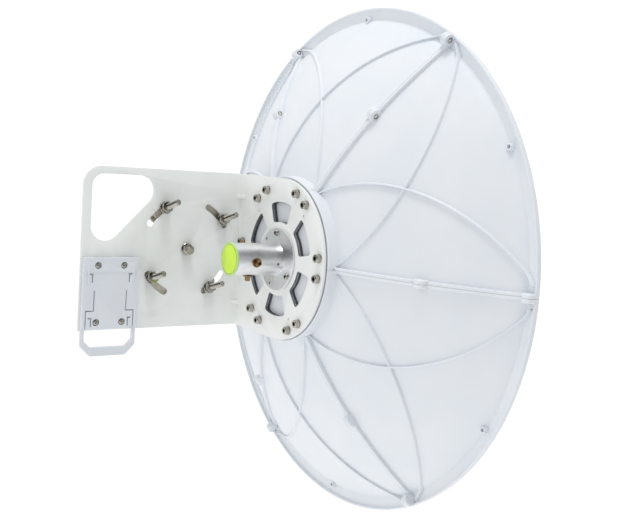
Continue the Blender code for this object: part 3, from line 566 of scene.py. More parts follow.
def turned(section: Outline, steps: int = 64) -> BMesh:
    """Spin a section round the z axis.

    Args:
        section: Radius and height of its corners, either closed or from axis to axis.
        steps: Faces round the turn.

    Returns:
        The closed solid.
    """
    shape = bmesh.new()
    corners = [shape.verts.new((radius, 0.0, height)) for radius, height in section]
    edges = [shape.edges.new(pair) for pair in zip(corners, corners[1:])]
    if section[0][0] > WELD:
        edges.append(shape.edges.new((corners[-1], corners[0])))
    bmesh.ops.spin(shape, geom=corners + edges, cent=ORIGIN, axis=(0, 0, 1), angle=FULL_TURN, steps=steps,
                   use_merge=True)
    bmesh.ops.dissolve_degenerate(shape, dist=WELD, edges=shape.edges)
    return face_out(shape)


def swung(shape: BMesh, section: list[BMVert], centre: Vector, angle: float, steps: int) -> BMesh:
    """Swing a closed section about an upright axis, as far as an angle.

    Args:
        shape: What the section is drawn in.
        section: Its corners in order.
        centre: A point of the axis.
        angle: The angle in radians.
        steps: Faces along the way.

    Returns:
        The same shape, now a solid.
    """
    face = shape.faces.new(section)
    bmesh.ops.spin(shape, geom=[face] + list(face.edges) + section, cent=centre, axis=(0, 0, 1), angle=angle,
                   steps=steps, use_merge=False)
    return face_out(shape)


def sector(span: Pair, middle: float, sweep: float, levels: Pair, steps: int,
           centre: Vector = ORIGIN) -> BMesh:
    """A sector of a flat ring.

    Args:
        span: Its inner and outer radius.
        middle: Angle of its middle.
        sweep: Angle that it spans.
        levels: Its lower and upper level.
        steps: Faces along it.
        centre: Centre of the ring.

    Returns:
        The sector.
    """
    shape = bmesh.new()
    (inner, outer), (low, high) = span, levels
    section = [
        shape.verts.new(centre + point_on(radius, middle - sweep / 2, level))
        for radius, level in ((inner, low), (outer, low), (outer, high), (inner, high))
    ]
    return swung(shape, section, centre, math.radians(sweep), steps)


def swept_face(shape: BMesh, face: BMFace, along: Vector) -> None:
    """Pull a flat face out into a prism."""
    grown = bmesh.ops.extrude_face_region(shape, geom=[face])["geom"]
    bmesh.ops.translate(shape, vec=along, verts=[item for item in grown if isinstance(item, BMVert)])


def prism(outline: Outline, low: float, high: float, plane: str = "xy") -> BMesh:
    """A flat outline made solid between two levels.

    Args:
        outline: Its corners.
        low: The first level.
        high: The second level.
        plane: The axes that the corners give; the levels go along the third.

    Returns:
        The prism.
    """
    first = "xyz".index(plane[0])
    second = "xyz".index(plane[1])
    third = 3 - first - second
    shape = bmesh.new()
    corners = []
    for u, v in outline:
        spot = Vector((0.0, 0.0, 0.0))
        spot[first], spot[second], spot[third] = u, v, low
        corners.append(shape.verts.new(spot))
    lift = Vector((0.0, 0.0, 0.0))
    lift[third] = high - low
    swept_face(shape, shape.faces.new(corners), lift)
    return face_out(shape)


def both_sides(half: list[Pair]) -> list[Pair]:
    """An outline from its right half, which is mirrored to the left."""
    return half + [(-across, up) for across, up in reversed(half)]


def chamfered_ring(inner: float, outer: float, low: float, high: float, ease: float = 0.25) -> BMesh:
    """A washer on the z axis with its outer edges eased.

    Args:
        inner: Bore radius.
        outer: Outer radius.
        low: Lower face.
        high: Upper face.
        ease: Width of the eased edges.

    Returns:
        The washer.
    """
    return turned([(inner, low), (outer - ease, low), (outer, low + ease), (outer, high - ease),
                   (outer - ease, high), (inner, high)], 48)


def hexagon(low: float, high: float, across: float) -> BMesh:
    """A hexagon head or nut on the z axis, with the corners of its far face turned off.

    Args:
        low: Level of the seat.
        high: Level of the far face, above or below the seat.
        across: Width across the flats.

    Returns:
        The head.
    """
    corner = across / math.sqrt(3)
    back = math.copysign(1.0, low - high)
    cut = (corner - across / 2) * 0.9
    room = corner + 1.0
    slope = 0.58
    envelope = turned([(0.0, low + back), (room, low + back), (room, high + back * (cut + 1.0) * slope),
                       (corner - cut, high), (0.0, high)], 48)
    return fuse(bar((0, 0, low), (0, 0, high), corner, 6), (Fusing.KEEP, [envelope]))


def hex_nut(low: float, high: float, across: float, bore: float) -> BMesh:
    """A hexagon nut on the z axis with its bore."""
    return fuse(hexagon(low, high, across), (Fusing.CUT, [bar((0, 0, low - 9), (0, 0, high + 9), bore, 32)]))


def socket_head(low: float, high: float, radius: float, socket: float) -> BMesh:
    """A domed pan head on the z axis with a hexagon socket.

    Args:
        low: Seat level.
        high: Top level.
        radius: Head radius.
        socket: Width across the socket's flats.

    Returns:
        The head.
    """
    rise = high - low
    dome = ((1.0, 0.0), (1.0, 0.35), (0.93, 0.68), (0.78, 0.9))
    head = turned([(0.0, low)] + [(radius * out, low + rise * up) for out, up in dome]
                  + [(radius * 0.55, high), (0.0, high)], 40)
    floor = high - rise * 0.62
    return fuse(head, (Fusing.CUT, [bar((0, 0, floor), (0, 0, high + 5), socket / math.sqrt(3), 6)]))


def everything(shape: BMesh) -> list:
    """A shape's vertices, edges and faces."""
    return list(shape.verts) + list(shape.edges) + list(shape.faces)


def threaded(radius: float, start: float, end: float, pitch: float, depth: float) -> BMesh:
    """A threaded rod along z, cut off square at both ends.

    Args:
        radius: Outer radius of the thread.
        start: Lower end.
        end: Upper end.
        pitch: Rise of one turn.
        depth: Depth of the thread.

    Returns:
        The rod.
    """
    shape = bmesh.new()
    chain = []
    for turn in range(int((end - start) / pitch) + 3):
        level = start + (turn - 1.5) * pitch
        for out, rise in ((radius - depth, 0.0), (radius, 0.4), (radius, 0.6)):
            chain.append(shape.verts.new((out, 0, level + pitch * rise)))
    chain.append(shape.verts.new((radius - depth, 0, start + (turn - 0.5) * pitch)))
    edges = [shape.edges.new(pair) for pair in zip(chain, chain[1:])]
    steps = 16
    bmesh.ops.spin(shape, geom=chain + edges, cent=ORIGIN, axis=(0, 0, 1), dvec=(0, 0, pitch / steps),
                   angle=FULL_TURN, steps=steps, use_merge=False)
    bmesh.ops.remove_doubles(shape, verts=shape.verts, dist=LEVEL)
    for level, outward in ((start, -1), (end, 1)):
        bmesh.ops.bisect_plane(shape, geom=everything(shape), plane_co=(0, 0, level),
                               plane_no=(0, 0, outward), clear_outer=True)
        for vert in shape.verts:
            room = radius - max(0.0, 1.4 * depth - abs(level - vert.co.z))
            out = vert.co.xy.length
            if out > room:
                vert.co.xy *= room / out
        rim = [edge for edge in shape.edges if edge.is_boundary and abs(edge.verts[0].co.z - level) < LEVEL]
        bmesh.ops.holes_fill(shape, edges=rim, sides=0)
    return face_out(shape)


@dataclass(frozen=True)
class HubLayout:
    """Sizes that the petals, the hub plate and its bolts share."""

    count: int = 6
    pitch: float = 60.0
    drum_rear: float = 111.2
    plate_front: float = 111.5
    plate_rear: float = 114.5
    bolt_circle: float = 91.3
    bolt_offset: float = 7.65
    bolt_hole: float = 3.8
    window: Pair = (46.5, 72.0)
    window_sweep: float = 39.0
    window_corner: float = 3.8

    def bolt_spots(self, height: float) -> list[Vector]:
        """The twelve bolts' places, one on each side of every seam."""
        return [point_on(self.bolt_circle, self.pitch * index + side * self.bolt_offset, height)
                for index, side in product(range(self.count), (-1, 1))]

    def window_cutter(self, middle: float, low: float, high: float) -> BMesh:
        """A cutter for the window or pocket at an angle, with rounded corners."""
        cutter = sector(self.window, middle, self.window_sweep, (low, high), 6)
        return round_corners(cutter, "z", self.window_corner, 6)


@dataclass
class Reflector:
    """The six moulded petals, with their ribs, seam flanges, bosses and their part of the hub drum."""

    material: bpy.types.Material
    # Painted shade for the walls of the window pockets.
    pocket_wall_shade: bpy.types.Material
    hub: HubLayout = HubLayout()
    radius: float = 325.0
    band_radius: float = 310.0
    depth: float = 106.0
    bowl_power: float = 2.15
    wall: float = 3.0
    hole_radius: float = 20.0
    round_steps: int = 36
    fall_steps: int = 34
    seam_gap: float = 0.3
    drum_radius: float = 104.0
    shoulder: float = 110.4
    groove: float = 107.6
    seat_radius: float = 97.0
    ring_radius: float = 101.4
    ring_draft: float = 0.6
    recess_radius: float = 36.0
    web_rear: float = 106.6
    pocket_floor: float = 107.5
    lip_height: float = 2.8
    lip_wall: float = 2.6
    lip_foot: float = 0.4
    band_rear: float = -1.4
    edge_round: float = 0.7
    flange_wall: float = 3.5
    flange_height: float = 5.0
    flange_round: float = 0.8
    flange_ends: Pair = (102.5, 321.0)
    flange_steps: int = 22
    boss_length: float = 4.7
    boss_ease: float = 0.9
    boss_sizes: tuple[Spot, ...] = ((212.5, 61.5, 8.6), (317.3, 5.4, 7.4))
    rib_arc: float = 216.0
    rib_rim_radius: float = 318.5
    rib_rim_angle: float = 2.1
    rib_hub_radius: float = 102.25
    rib_hub_angle: float = 2.25
    rib_height: float = 3.6
    rib_top: float = 1.5
    rib_foot: float = 3.0
    rib_root: float = 1.5
    rib_flare: Pair = (0.3, 0.6)
    rib_round: float = 0.6
    rib_steps: int = 44
    stud_profile: Outline = ((0.0, 0.0), (4.8, 0.0), (4.2, 2.6), (4.0, 6.4), (3.6, 6.7), (0.0, 6.7))
    stud_bore: float = 2.3

    @property
    def middle(self) -> float:
        """Angle of a petal's middle."""
        return 180.0 / self.hub.count

    def rear(self, radius: float) -> float:
        """Height of the rear face at a radius, on a bowl that is a little fuller than a paraboloid."""
        return self.depth * (1 - (min(radius, self.band_radius) / self.band_radius) ** self.bowl_power)

    def shift(self) -> Vector:
        """How far a petal is moved out so that the seams stay open."""
        return point_on(self.seam_gap / 2 / math.sin(math.radians(self.middle)), self.middle)

    def mirrored(self, shape: BMesh) -> BMesh:
        """Mirror a shape across the petal's middle plane."""
        turn = Matrix.Rotation(math.pi / self.hub.count, 4, "Z")
        return moved(shape, turn @ Matrix.Scale(-1, 4, (0, 1, 0)) @ turn.inverted())

    def dished_line(self, shape: BMesh, start: float, end: float, drop: float, cuts: int) -> list[BMVert]:
        """A straight edge between two radii, divided and dropped on the bowl.

        Args:
            shape: What it is drawn in.
            start: First radius.
            end: Last radius.
            drop: How far below the rear face it lies.
            cuts: Points added between its ends.

        Returns:
            Its points in order.
        """
        known = set(shape.verts)
        first = shape.verts.new((start, 0, 0))
        steps = cuts + 1
        stride = Vector(((end - start) / steps, 0, 0))
        bmesh.ops.spin(shape, geom=[first], cent=ORIGIN, axis=(0, 0, 1), dvec=stride, angle=0.0, steps=steps)
        points = [vert for vert in shape.verts if vert not in known]
        for vert in points:
            vert.co.z = self.rear(vert.co.x) - drop
        return points

    def shell(self) -> BMesh:
        """The petal's section, from bowl to lip and back to the drum, spun through its share of the turn.

        Returns:
            The bare petal.
        """
        rim = self.radius - self.shift().length
        shape = bmesh.new()
        front = self.dished_line(shape, self.hole_radius, self.band_radius, self.wall, self.fall_steps)
        front[-1].co.z = -self.lip_height
        rear = self.dished_line(shape, self.band_radius, self.drum_radius, 0.0, self.fall_steps)
        rear[0].co.z = self.band_rear
        lip = ((rim, -self.lip_height), (rim, self.lip_height), (rim - self.lip_wall, self.lip_height),
               (rim - self.lip_wall - self.lip_foot, self.band_rear + self.lip_foot))
        drum = (
            (self.drum_radius, self.shoulder), (self.ring_radius, self.shoulder),
            (self.ring_radius - self.ring_draft, self.groove), (self.seat_radius, self.groove),
            (self.seat_radius, self.hub.drum_rear), (self.recess_radius, self.hub.drum_rear),
            (self.recess_radius, self.web_rear), (self.hole_radius, self.web_rear),
        )
        lip_verts, drum_verts = [[shape.verts.new((out, 0, up)) for out, up in line] for line in (lip, drum)]
        section = front + lip_verts + rear + drum_verts
        swung(shape, section, ORIGIN, FULL_TURN / self.hub.count, self.round_steps)

        def level_ring(edge: BMEdge) -> bool:
            """Whether the edge runs round the petal."""
            first, last = (vert.co for vert in edge.verts)
            return abs(math.hypot(*first.xy) - math.hypot(*last.xy)) < LEVEL and abs(first.z - last.z) < LEVEL

        return soften(shape, self.edge_round, 3, 50.0, level_ring)

    def flange(self) -> BMesh:
        """The wall that stands on a petal's edge, with its rounded top.

        Returns:
            The wall, with its foot inside the shell.
        """
        inner, outer = self.flange_ends
        shape = bmesh.new()
        low = self.dished_line(shape, inner, self.band_radius, self.wall * 0.65, self.flange_steps)
        high = self.dished_line(shape, self.band_radius, inner, -self.flange_height, self.flange_steps)
        ends = [shape.verts.new((outer, 0, -1.0)), shape.verts.new((outer, 0, self.flange_height / 2))]
        swept_face(shape, shape.faces.new(low + ends + high), Vector((0, self.flange_wall, 0)))
        face_out(shape)
        return soften(shape, self.flange_round, 3, 50.0,
                      lambda edge: min(vert.co.y for vert in edge.verts) > 1)

    def bosses(self) -> list[BMesh]:
        """Round bosses on the petal's edge, for the screws that pull two petals together.

        Returns:
            The two bosses.
        """
        made = []
        length, ease = self.boss_length, self.boss_ease
        for radius, height, size in self.boss_sizes:
            profile = [(0.0, 0.0), (size, 0.0), (size, length - ease), (size - ease, length), (0.0, length)]
            place = Matrix.Translation((radius, 0, height)) @ Matrix.Rotation(-QUARTER_TURN, 4, "X")
            made.append(moved(turned(profile, 40), place))
        return made

    def rib(self) -> BMesh:
        """A low stiffening rib, a circular arc in plan from the hub at one seam to the rim at the next.

        Returns:
            The rib, with its foot inside the shell.
        """
        hub_end = point_on(self.rib_hub_radius, 360 / self.hub.count - self.rib_hub_angle)
        rim_end = point_on(self.rib_rim_radius, self.rib_rim_angle)
        chord = rim_end - hub_end
        drop = math.sqrt(self.rib_arc ** 2 - (chord.length / 2) ** 2)
        side = Vector((chord.y, -chord.x, 0.0)).normalized()
        centre = (hub_end + rim_end) / 2 + side * drop
        from_centre = hub_end - centre
        sweep = from_centre.xy.angle_signed((rim_end - centre).xy)
        outward = from_centre.normalized()
        foot = self.rib_foot / 2
        top = self.rib_top / 2
        height = self.rib_height
        root = -self.rib_root
        flare, knee = self.rib_flare
        shape = bmesh.new()
        section = []
        for across, rise in ((-foot, root), (foot, root), (foot - flare, knee), (top, height), (-top, height),
                             (flare - foot, knee)):
            spot = hub_end + outward * across
            section.append(shape.verts.new((spot.x, spot.y, rise)))
        swung(shape, section, centre, -sweep, self.rib_steps)
        soften(shape, self.rib_round, 3, 50.0,
               lambda edge: min(vert.co.z for vert in edge.verts) > height - 0.1)
        for vert in shape.verts:
            vert.co.z += self.rear(math.hypot(vert.co.x, vert.co.y))
        return face_out(shape)

    def petal(self) -> BMesh:
        """One petal between the seams at 0 and 60 degrees.

        Returns:
            The finished petal.
        """
        foot = Matrix.Translation(point_on(self.band_radius, self.middle, -2.2))
        stud = moved(turned(self.stud_profile, 32), foot)
        stud_hole = bar(point_on(self.band_radius, self.middle, -0.5),
                        point_on(self.band_radius, self.middle, 8.0), self.stud_bore, 24)
        joined = [self.flange(), self.mirrored(self.flange()), self.rib(), self.mirrored(self.rib()), stud]
        joined += self.bosses() + [self.mirrored(boss) for boss in self.bosses()]
        holes = [stud_hole]
        for angle in (self.hub.bolt_offset, self.hub.pitch - self.hub.bolt_offset):
            holes.append(upright_bar(point_on(self.hub.bolt_circle, angle, 95.0), 20, self.hub.bolt_hole))
        holes.append(self.hub.window_cutter(self.middle, self.pocket_floor, self.hub.drum_rear + 2))
        solid = fuse(self.shell(), (Fusing.JOIN, joined), (Fusing.CUT, holes))
        return moved(solid, Matrix.Translation(self.shift()))

    def build(self) -> None:
        """Make the six petals, with painted shade in dark grey on the walls of their window pockets."""
        petal = mark_faces(self.petal(), (45.0, 74.0), (self.pocket_floor, self.hub.drum_rear), 130.0)
        for index in range(self.hub.count):
            turn = Matrix.Rotation(FULL_TURN / self.hub.count * index, 4, "Z")
            settle(f"moulded_petal_{index + 1}", petal, self.material, f"petal_{index + 1}", turn,
                   sharp=35.0, recess=self.pocket_wall_shade)


@dataclass
class BracketPlate:
    """The sheet bracket: cut flat, softened at its edges and folded to an L."""

    material: bpy.types.Material
    # Painted shade for the walls of the plate's windows.
    window_wall_shade: bpy.types.Material
    hub: HubLayout = HubLayout()
    sheet: float = 3.0
    half_height: float = 101.5
    fold_x: float = -97.0
    fold_centre: float = 117.5
    bend_radius: float = 3.0
    fold_steps: int = 10
    side_end: float = 334.0
    corner: float = 23.0
    tube_hole: float = 19.0
    pivot_depth: float = 192.6
    pivot_hole: float = 4.5
    slot_width: float = 8.9
    slot_sweep: float = 30.6
    bolt_span: Pair = (84.0, 91.0)
    hand_hole_corner: Pair = (323.2, 92.6)
    hand_hole_legs: Pair = (106.5, 110.9)
    hand_hole_radii: Spot = (15.0, 19.0, 19.0)
    small_hole: float = 1.5
    clip_hole: float = 2.4
    small_circle: float = 78.0
    small_angles: Spot = (134.0, 49.0, -65.0)
    gusset_height: float = 71.0
    gusset_width: float = 5.0
    gusset_outline: Outline = ((-101, 113.5), (-92.5, 113.5), (-92.5, 114.9), (-99.6, 122), (-101, 122))

    @property
    def through(self) -> Pair:
        """Levels between which a cutter passes right through the flat sheet."""
        return (self.hub.plate_front - 4, self.hub.plate_rear + 4)

    def neutral(self) -> float:
        """Length of flat sheet that goes into the bend."""
        return (self.bend_radius + self.sheet / 2) * math.pi / 2

    def flat_depth(self, depth: float) -> float:
        """Where a depth on the side plate lies on the flat sheet, along minus x."""
        return self.fold_x - self.neutral() - (depth - self.fold_centre)

    def hole(self, x: float, y: float, radius: float, sides: int = 20) -> BMesh:
        """A round cutter through the flat sheet."""
        low, high = self.through
        return bar((x, y, low), (x, y, high), radius, sides)

    def arc_slots(self) -> list[BMesh]:
        """The pivot's hole and the four arc slots round it.

        Returns:
            The cutters.
        """
        centre = Vector((self.flat_depth(self.pivot_depth), 0, 0))
        radius = math.hypot(*self.bolt_span) / 2
        middle = math.degrees(math.atan2(self.bolt_span[1], self.bolt_span[0]))
        half = self.slot_width / 2
        ring = (radius - half, radius + half)
        made = [self.hole(centre.x, centre.y, self.pivot_hole, 28)]
        for angle in (middle, 180 - middle, 180 + middle, 360 - middle):
            made.append(sector(ring, angle, self.slot_sweep, self.through, 14, centre))
            for end in (-0.5, 0.5):
                tip = centre + point_on(radius, angle + end * self.slot_sweep)
                made.append(self.hole(tip.x, tip.y, half, 32))
        return made

    def hand_hole(self) -> BMesh:
        """The triangular hand hole with its three round corners.

        Returns:
            The cutter.
        """
        rear, top = self.hand_hole_corner
        ahead, below = self.hand_hole_legs
        corners = [Vector((rear, top)), Vector((rear - ahead, top)), Vector((rear, top - below))]
        shape = bmesh.new()
        chain = []
        for index, (corner, radius) in enumerate(zip(corners, self.hand_hole_radii)):
            before = (corners[index - 1] - corner).normalized()
            after = (corners[(index + 1) % 3] - corner).normalized()
            half = before.angle(after) / 2
            centre = corner + (before + after).normalized() * radius / math.sin(half)
            start = corner + before * radius / math.tan(half)
            end = corner + after * radius / math.tan(half)
            sweep = (start - centre).angle_signed(end - centre)
            bmesh.ops.spin(shape, geom=[shape.verts.new((start.x, start.y, 0))], cent=(centre.x, centre.y, 0),
                           axis=(0, 0, 1), angle=-sweep, steps=12)
            chain += [vert for vert in shape.verts if vert not in chain]
        low, high = self.through
        swept_face(shape, shape.faces.new(chain), Vector((0, 0, high - low)))
        for vert in shape.verts:
            vert.co.x = self.flat_depth(vert.co.x)
            vert.co.z += low
        return face_out(shape)

    def cutters(self) -> list[BMesh]:
        """Everything that is cut out of the flat sheet.

        Returns:
            The cutters.
        """
        middles = [self.hub.pitch * (index + 0.5) for index in range(self.hub.count)]
        made = [self.hub.window_cutter(middle, *self.through) for middle in middles]
        made += self.arc_slots() + [self.hand_hole(), self.hole(0, 0, self.tube_hole, 48)]
        made += [self.hole(spot.x, spot.y, self.hub.bolt_hole) for spot in self.hub.bolt_spots(0.0)]
        small = [point_on(self.small_circle, angle) for angle in self.small_angles]
        made += [self.hole(spot.x, spot.y, self.small_hole, 16) for spot in small]
        for height, depth in CLIP_SCREW_SPOTS:
            made.append(self.hole(self.flat_depth(depth), height, self.clip_hole, 16))
        return made

    def flat_pattern(self) -> BMesh:
        """The sheet before it is folded.

        Returns:
            The sheet with all its cut-outs and softened edges.
        """
        far = self.flat_depth(self.side_end)
        half = self.half_height
        shape = block((far, -half, self.hub.plate_front), (half, half, self.hub.plate_rear))
        round_corners(shape, "z", half - LEVEL, 48, lambda spot: spot.x > 0)
        round_corners(shape, "z", self.corner, 14, lambda spot: spot.x < far + 1 and spot.y > 0)
        cut = fuse(shape, (Fusing.CUT, self.cutters()))
        return soften(cut, 0.35, 2, 60.0, lambda edge: abs(edge.verts[0].co.z - edge.verts[1].co.z) < LEVEL)

    def folded(self) -> BMesh:
        """The sheet folded to an L round its inner radius.

        Returns:
            The bent sheet.
        """
        shape = self.flat_pattern()
        length = self.neutral()
        for step in range(self.fold_steps + 1):
            line = self.fold_x - length * step / self.fold_steps
            bmesh.ops.bisect_plane(shape, geom=everything(shape), dist=WELD, plane_co=(line, 0, 0),
                                   plane_no=(1, 0, 0))
        for vert in shape.verts:
            travel = self.fold_x - vert.co.x
            if travel <= 0:
                continue
            lift = vert.co.z - self.hub.plate_rear - self.bend_radius
            angle = min(travel / length, 1.0) * math.pi / 2
            beyond = max(travel - length, 0.0)
            vert.co.x = self.fold_x + lift * math.sin(angle) - beyond * math.cos(angle)
            vert.co.z = self.fold_centre + lift * math.cos(angle) + beyond * math.sin(angle)
        return face_out(shape)

    def gusset(self, height: float) -> BMesh:
        """A small pressed gusset across the bend."""
        half = self.gusset_width / 2
        return soften(prism(self.gusset_outline, height - half, height + half, "xz"), 1.0, 3, 30.0)

    def build(self) -> None:
        """Make the bent plate, with painted shade in mid grey on the walls of its windows."""
        gussets = [self.gusset(side * self.gusset_height) for side in (-1, 1)]
        solid = fuse(self.folded(), (Fusing.JOIN, gussets))
        shape = mark_faces(solid, (45.0, 73.5), (self.hub.plate_front, self.hub.plate_rear), 130.0)
        settle("bent_bracket_plate", shape, self.material, "bracket_plate", sharp=30.0,
               recess=self.window_wall_shade)


@dataclass
class HubBolts:
    """Twelve socket cap screws on plain washers that hold the petals to the bracket."""

    material: bpy.types.Material
    shadow: bpy.types.Material
    hub: HubLayout = HubLayout()
    seat: float = 114.55
    head: Outline = ((0.0, 0.4), (4.8, 0.4), (5.0, 0.7), (5.0, 5.7), (4.4, 6.4), (0.0, 6.4))
    turn_apart: float = 17.0

    def bolt(self) -> BMesh:
        """One cap screw on the z axis, seated at level zero.

        Returns:
            The screw, with its socket marked for painted shade.
        """
        socket = bar((0, 0, 3.3), (0, 0, 9.0), 5.0 / math.sqrt(3), 6)
        shank = bar((0, 0, -7.4), (0, 0, 1.0), 3.0, 24)
        washer = chamfered_ring(2.4, 5.6, 0.0, 0.8)
        solid = fuse(turned(self.head, 40), (Fusing.CUT, [socket]), (Fusing.JOIN, [shank, washer]))
        return mark_faces(solid, (-1.0, 2.9), (2.95, 6.35))

    def build(self) -> None:
        """Place the twelve screws, each turned a little differently as hands leave them."""
        bolt = self.bolt()
        for number, spot in enumerate(self.hub.bolt_spots(self.seat), start=1):
            settle(f"hub_cap_screw_{number:02d}", bolt, self.material, f"hub_bolt_{number:02d}",
                   Matrix.Translation(spot) @ about_z(self.turn_apart * number), recess=self.shadow)


@dataclass
class SeamScrews:
    """The small screws in the bosses that pull the petals together."""

    material: bpy.types.Material
    shadow: bpy.types.Material
    hub: HubLayout = HubLayout()
    places: tuple[Pair, ...] = ((212.5, 62.3), (317.9, 5.0))
    face: float = 4.7

    def screw(self) -> BMesh:
        """One screw on the z axis, with the seam's plane at level zero.

        Returns:
            The screw, with its socket marked for painted shade.
        """
        seat = self.face - 1.0
        head = turned([(0.0, seat), (3.5, seat), (3.5, self.face + 0.5), (3.1, self.face + 0.9),
                       (0.0, self.face + 0.9)], 36)
        socket = bar((0, 0, self.face - 0.6), (0, 0, self.face + 3.0), 2.3, 6)
        zone = (self.face - 0.75, self.face + 0.85)
        return mark_faces(fuse(head, (Fusing.CUT, [socket])), (-1.0, 2.2), zone)

    def build(self) -> None:
        """Place the twelve screws, two on each seam."""
        screw = self.screw()
        facing = Matrix.Rotation(QUARTER_TURN, 4, "X")
        seats = product(range(self.hub.count), self.places)
        for number, (index, (radius, height)) in enumerate(seats, start=1):
            place = about_z(self.hub.pitch * index) @ Matrix.Translation((radius, 0, height)) @ facing
            settle(f"seam_screw_{number:02d}", screw, self.material, place=place,
                   recess=self.shadow)


@dataclass
class FeedPort:
    """The port tube with its flange, its screws and its lime cap."""

    aluminium: bpy.types.Material
    steel: bpy.types.Material
    brass: bpy.types.Material
    lime: bpy.types.Material
    pale: bpy.types.Material
    shadow: bpy.types.Material
    low: float = 114.8
    radius: float = 20.0
    bore: float = 18.0
    end: float = 182.0
    flange_radius: float = 39.5
    flange: float = 3.0
    cap_seat: float = 182.3
    cap_radius: float = 17.5
    screw_depth: float = 157.0
    screw_angles: Spot = (-5.0, 135.0, 270.0)
    flange_screws: Spot = (93.0, -34.0, -148.0)
    flange_screw_circle: float = 33.0
    flange_holes: Spot = (137.0, 18.0, -110.0)
    flange_hole_circle: float = 34.0

    def tube(self) -> BMesh:
        """The turned tube and flange with their holes.

        Returns:
            The tube.
        """
        low, top, end = self.low, self.low + self.flange, self.end
        edge, wall = self.flange_radius, self.radius
        body = turned([
            (self.bore, low), (edge - 0.4, low), (edge, low + 0.4), (edge, top - 0.5), (edge - 0.5, top),
            (wall + 1.8, top), (wall + 0.5, top + 0.5), (wall, top + 1.8), (wall, end - 0.5),
            (wall - 0.5, end), (self.bore, end),
        ], 96)
        holes = []
        for angle in self.screw_angles:
            inner, outer = (point_on(radius, angle, self.screw_depth) for radius in (self.bore - 5, wall + 5))
            holes.append(bar(inner, outer, 2.9, 24))
        holes.append(bar(point_on(14, -12, 126.0), point_on(25, -12, 126.0), 1.5, 20))
        for angle in self.flange_holes:
            holes.append(upright_bar(point_on(self.flange_hole_circle, angle, low - 2), 9, 1.7))
        return fuse(body, (Fusing.CUT, holes))

    def cap(self) -> BMesh:
        """The cap: a face that stands a little proud, with a spigot inside the tube.

        Returns:
            The cap without its clear rim.
        """
        spigot, low, wall = self.end - 6.0, self.cap_seat, self.cap_radius
        return turned([(0.0, spigot), (wall - 0.4, spigot), (wall, spigot + 0.5), (wall, low),
                       (wall, low + 2.1), (wall - 0.5, low + 2.5), (0.0, low + 2.5)], 96)

    def cap_rim(self) -> BMesh:
        """The ring round the cap's face, which lets the light through.

        Returns:
            The ring.
        """
        low = self.cap_seat
        return turned([(self.cap_radius, low), (20.7, low), (21.0, low + 0.3), (21.0, low + 1.6),
                       (20.5, low + 2.2), (18.3, low + 2.2), (self.cap_radius, low + 1.6)], 96)

    def radial_screw(self) -> BMesh:
        """A flanged screw through the tube's wall, on the z axis with the tube's axis at level zero.

        Returns:
            The screw, with its socket marked for painted shade.
        """
        seat = self.radius + 0.1
        tip = self.bore - 3.0
        head = ((5.7, 0.0), (6.0, 0.3), (6.0, 1.2), (5.5, 1.7), (4.6, 1.3), (3.4, 1.3), (3.4, 6.0),
                (2.9, 7.0), (0.0, 7.0))
        profile = [(0.0, tip), (2.6, tip), (2.6, seat)] + [(out, seat + up) for out, up in head]
        socket = bar((0, 0, seat + 4.4), (0, 0, seat + 9.0), 1.9, 6)
        solid = fuse(turned(profile, 40), (Fusing.CUT, [socket]))
        return mark_faces(solid, (-1.0, 1.9), (seat + 4.25, seat + 6.95))

    def build(self) -> None:
        """Make the port's pieces."""
        settle("feed_port_tube", self.tube(), self.aluminium, "feed_tube")
        settle("lime_port_cap", self.cap(), self.lime, "feed_cap", sharp=50.0)
        settle("pale_cap_rim", self.cap_rim(), self.pale, sharp=50.0)
        screw = self.radial_screw()
        lie = Matrix.Translation((0, 0, self.screw_depth)) @ LAID_DOWN
        for number, angle in enumerate(self.screw_angles, start=1):
            settle(f"tube_flanged_screw_{number}", screw, self.brass, f"tube_screw_{number}",
                   about_z(angle) @ lie, recess=self.shadow)
        # The small screws' sockets are marked for painted shade.
        small = mark_faces(socket_head(0.0, 2.6, 3.9, 3.6), (-1.0, 2.0), (0.85, 2.55))
        for number, angle in enumerate(self.flange_screws, start=1):
            place = Matrix.Translation(point_on(self.flange_screw_circle, angle, self.low + self.flange))
            settle(f"flange_screw_{number}", small, self.steel, place=place, recess=self.shadow)


@dataclass
class FrontFeed:
    """The boom, the dielectric cone and the sub-reflector in front of the dish."""

    aluminium: bpy.types.Material
    plastic: bpy.types.Material
    high: float = 111.2
    boom_end: float = -110.0
    cone_end: float = -146.0
    gap: float = 0.3

    def build(self) -> None:
        """Make the three turned pieces."""
        high, end = self.high, self.boom_end
        boom = turned([
            (12.0, end), (13.6, end), (14.0, end + 0.4), (14.0, high - 6.0), (14.6, high - 4.6),
            (16.0, high - 4.0), (33.5, high - 4.0), (34.0, high - 3.5), (34.0, high - 0.4), (33.6, high),
            (12.0, high),
        ], 72)
        settle("feed_waveguide_boom", boom, self.aluminium, "feed_boom")
        top = end - self.gap
        steps = ((0.0, 0.0), (13.7, 0.0), (14.0, 0.4), (14.0, 4.0), (18.5, 8.5), (17.8, 10.5), (26.0, 17.5),
                 (25.2, 19.5), (34.5, 26.5), (33.6, 28.5))
        cone = turned([(out, top - fall) for out, fall in steps]
                      + [(44.0, self.cone_end + 1.2), (44.0, self.cone_end), (0.0, self.cone_end)], 72)
        settle("feed_dielectric_cone", cone, self.plastic, "feed_cone")
        rear = self.cone_end - self.gap
        plate = ((0.0, 0.0), (47.4, 0.0), (48.0, 0.8), (48.0, 3.4), (47.2, 4.0), (45.8, 4.0), (45.0, 3.2),
                 (20.0, 3.0), (18.5, 3.8), (0.0, 4.0))
        disc = turned([(out, rear - fall) for out, fall in plate], 96)
        settle("stamped_sub_reflector", disc, self.aluminium, "sub_reflector")


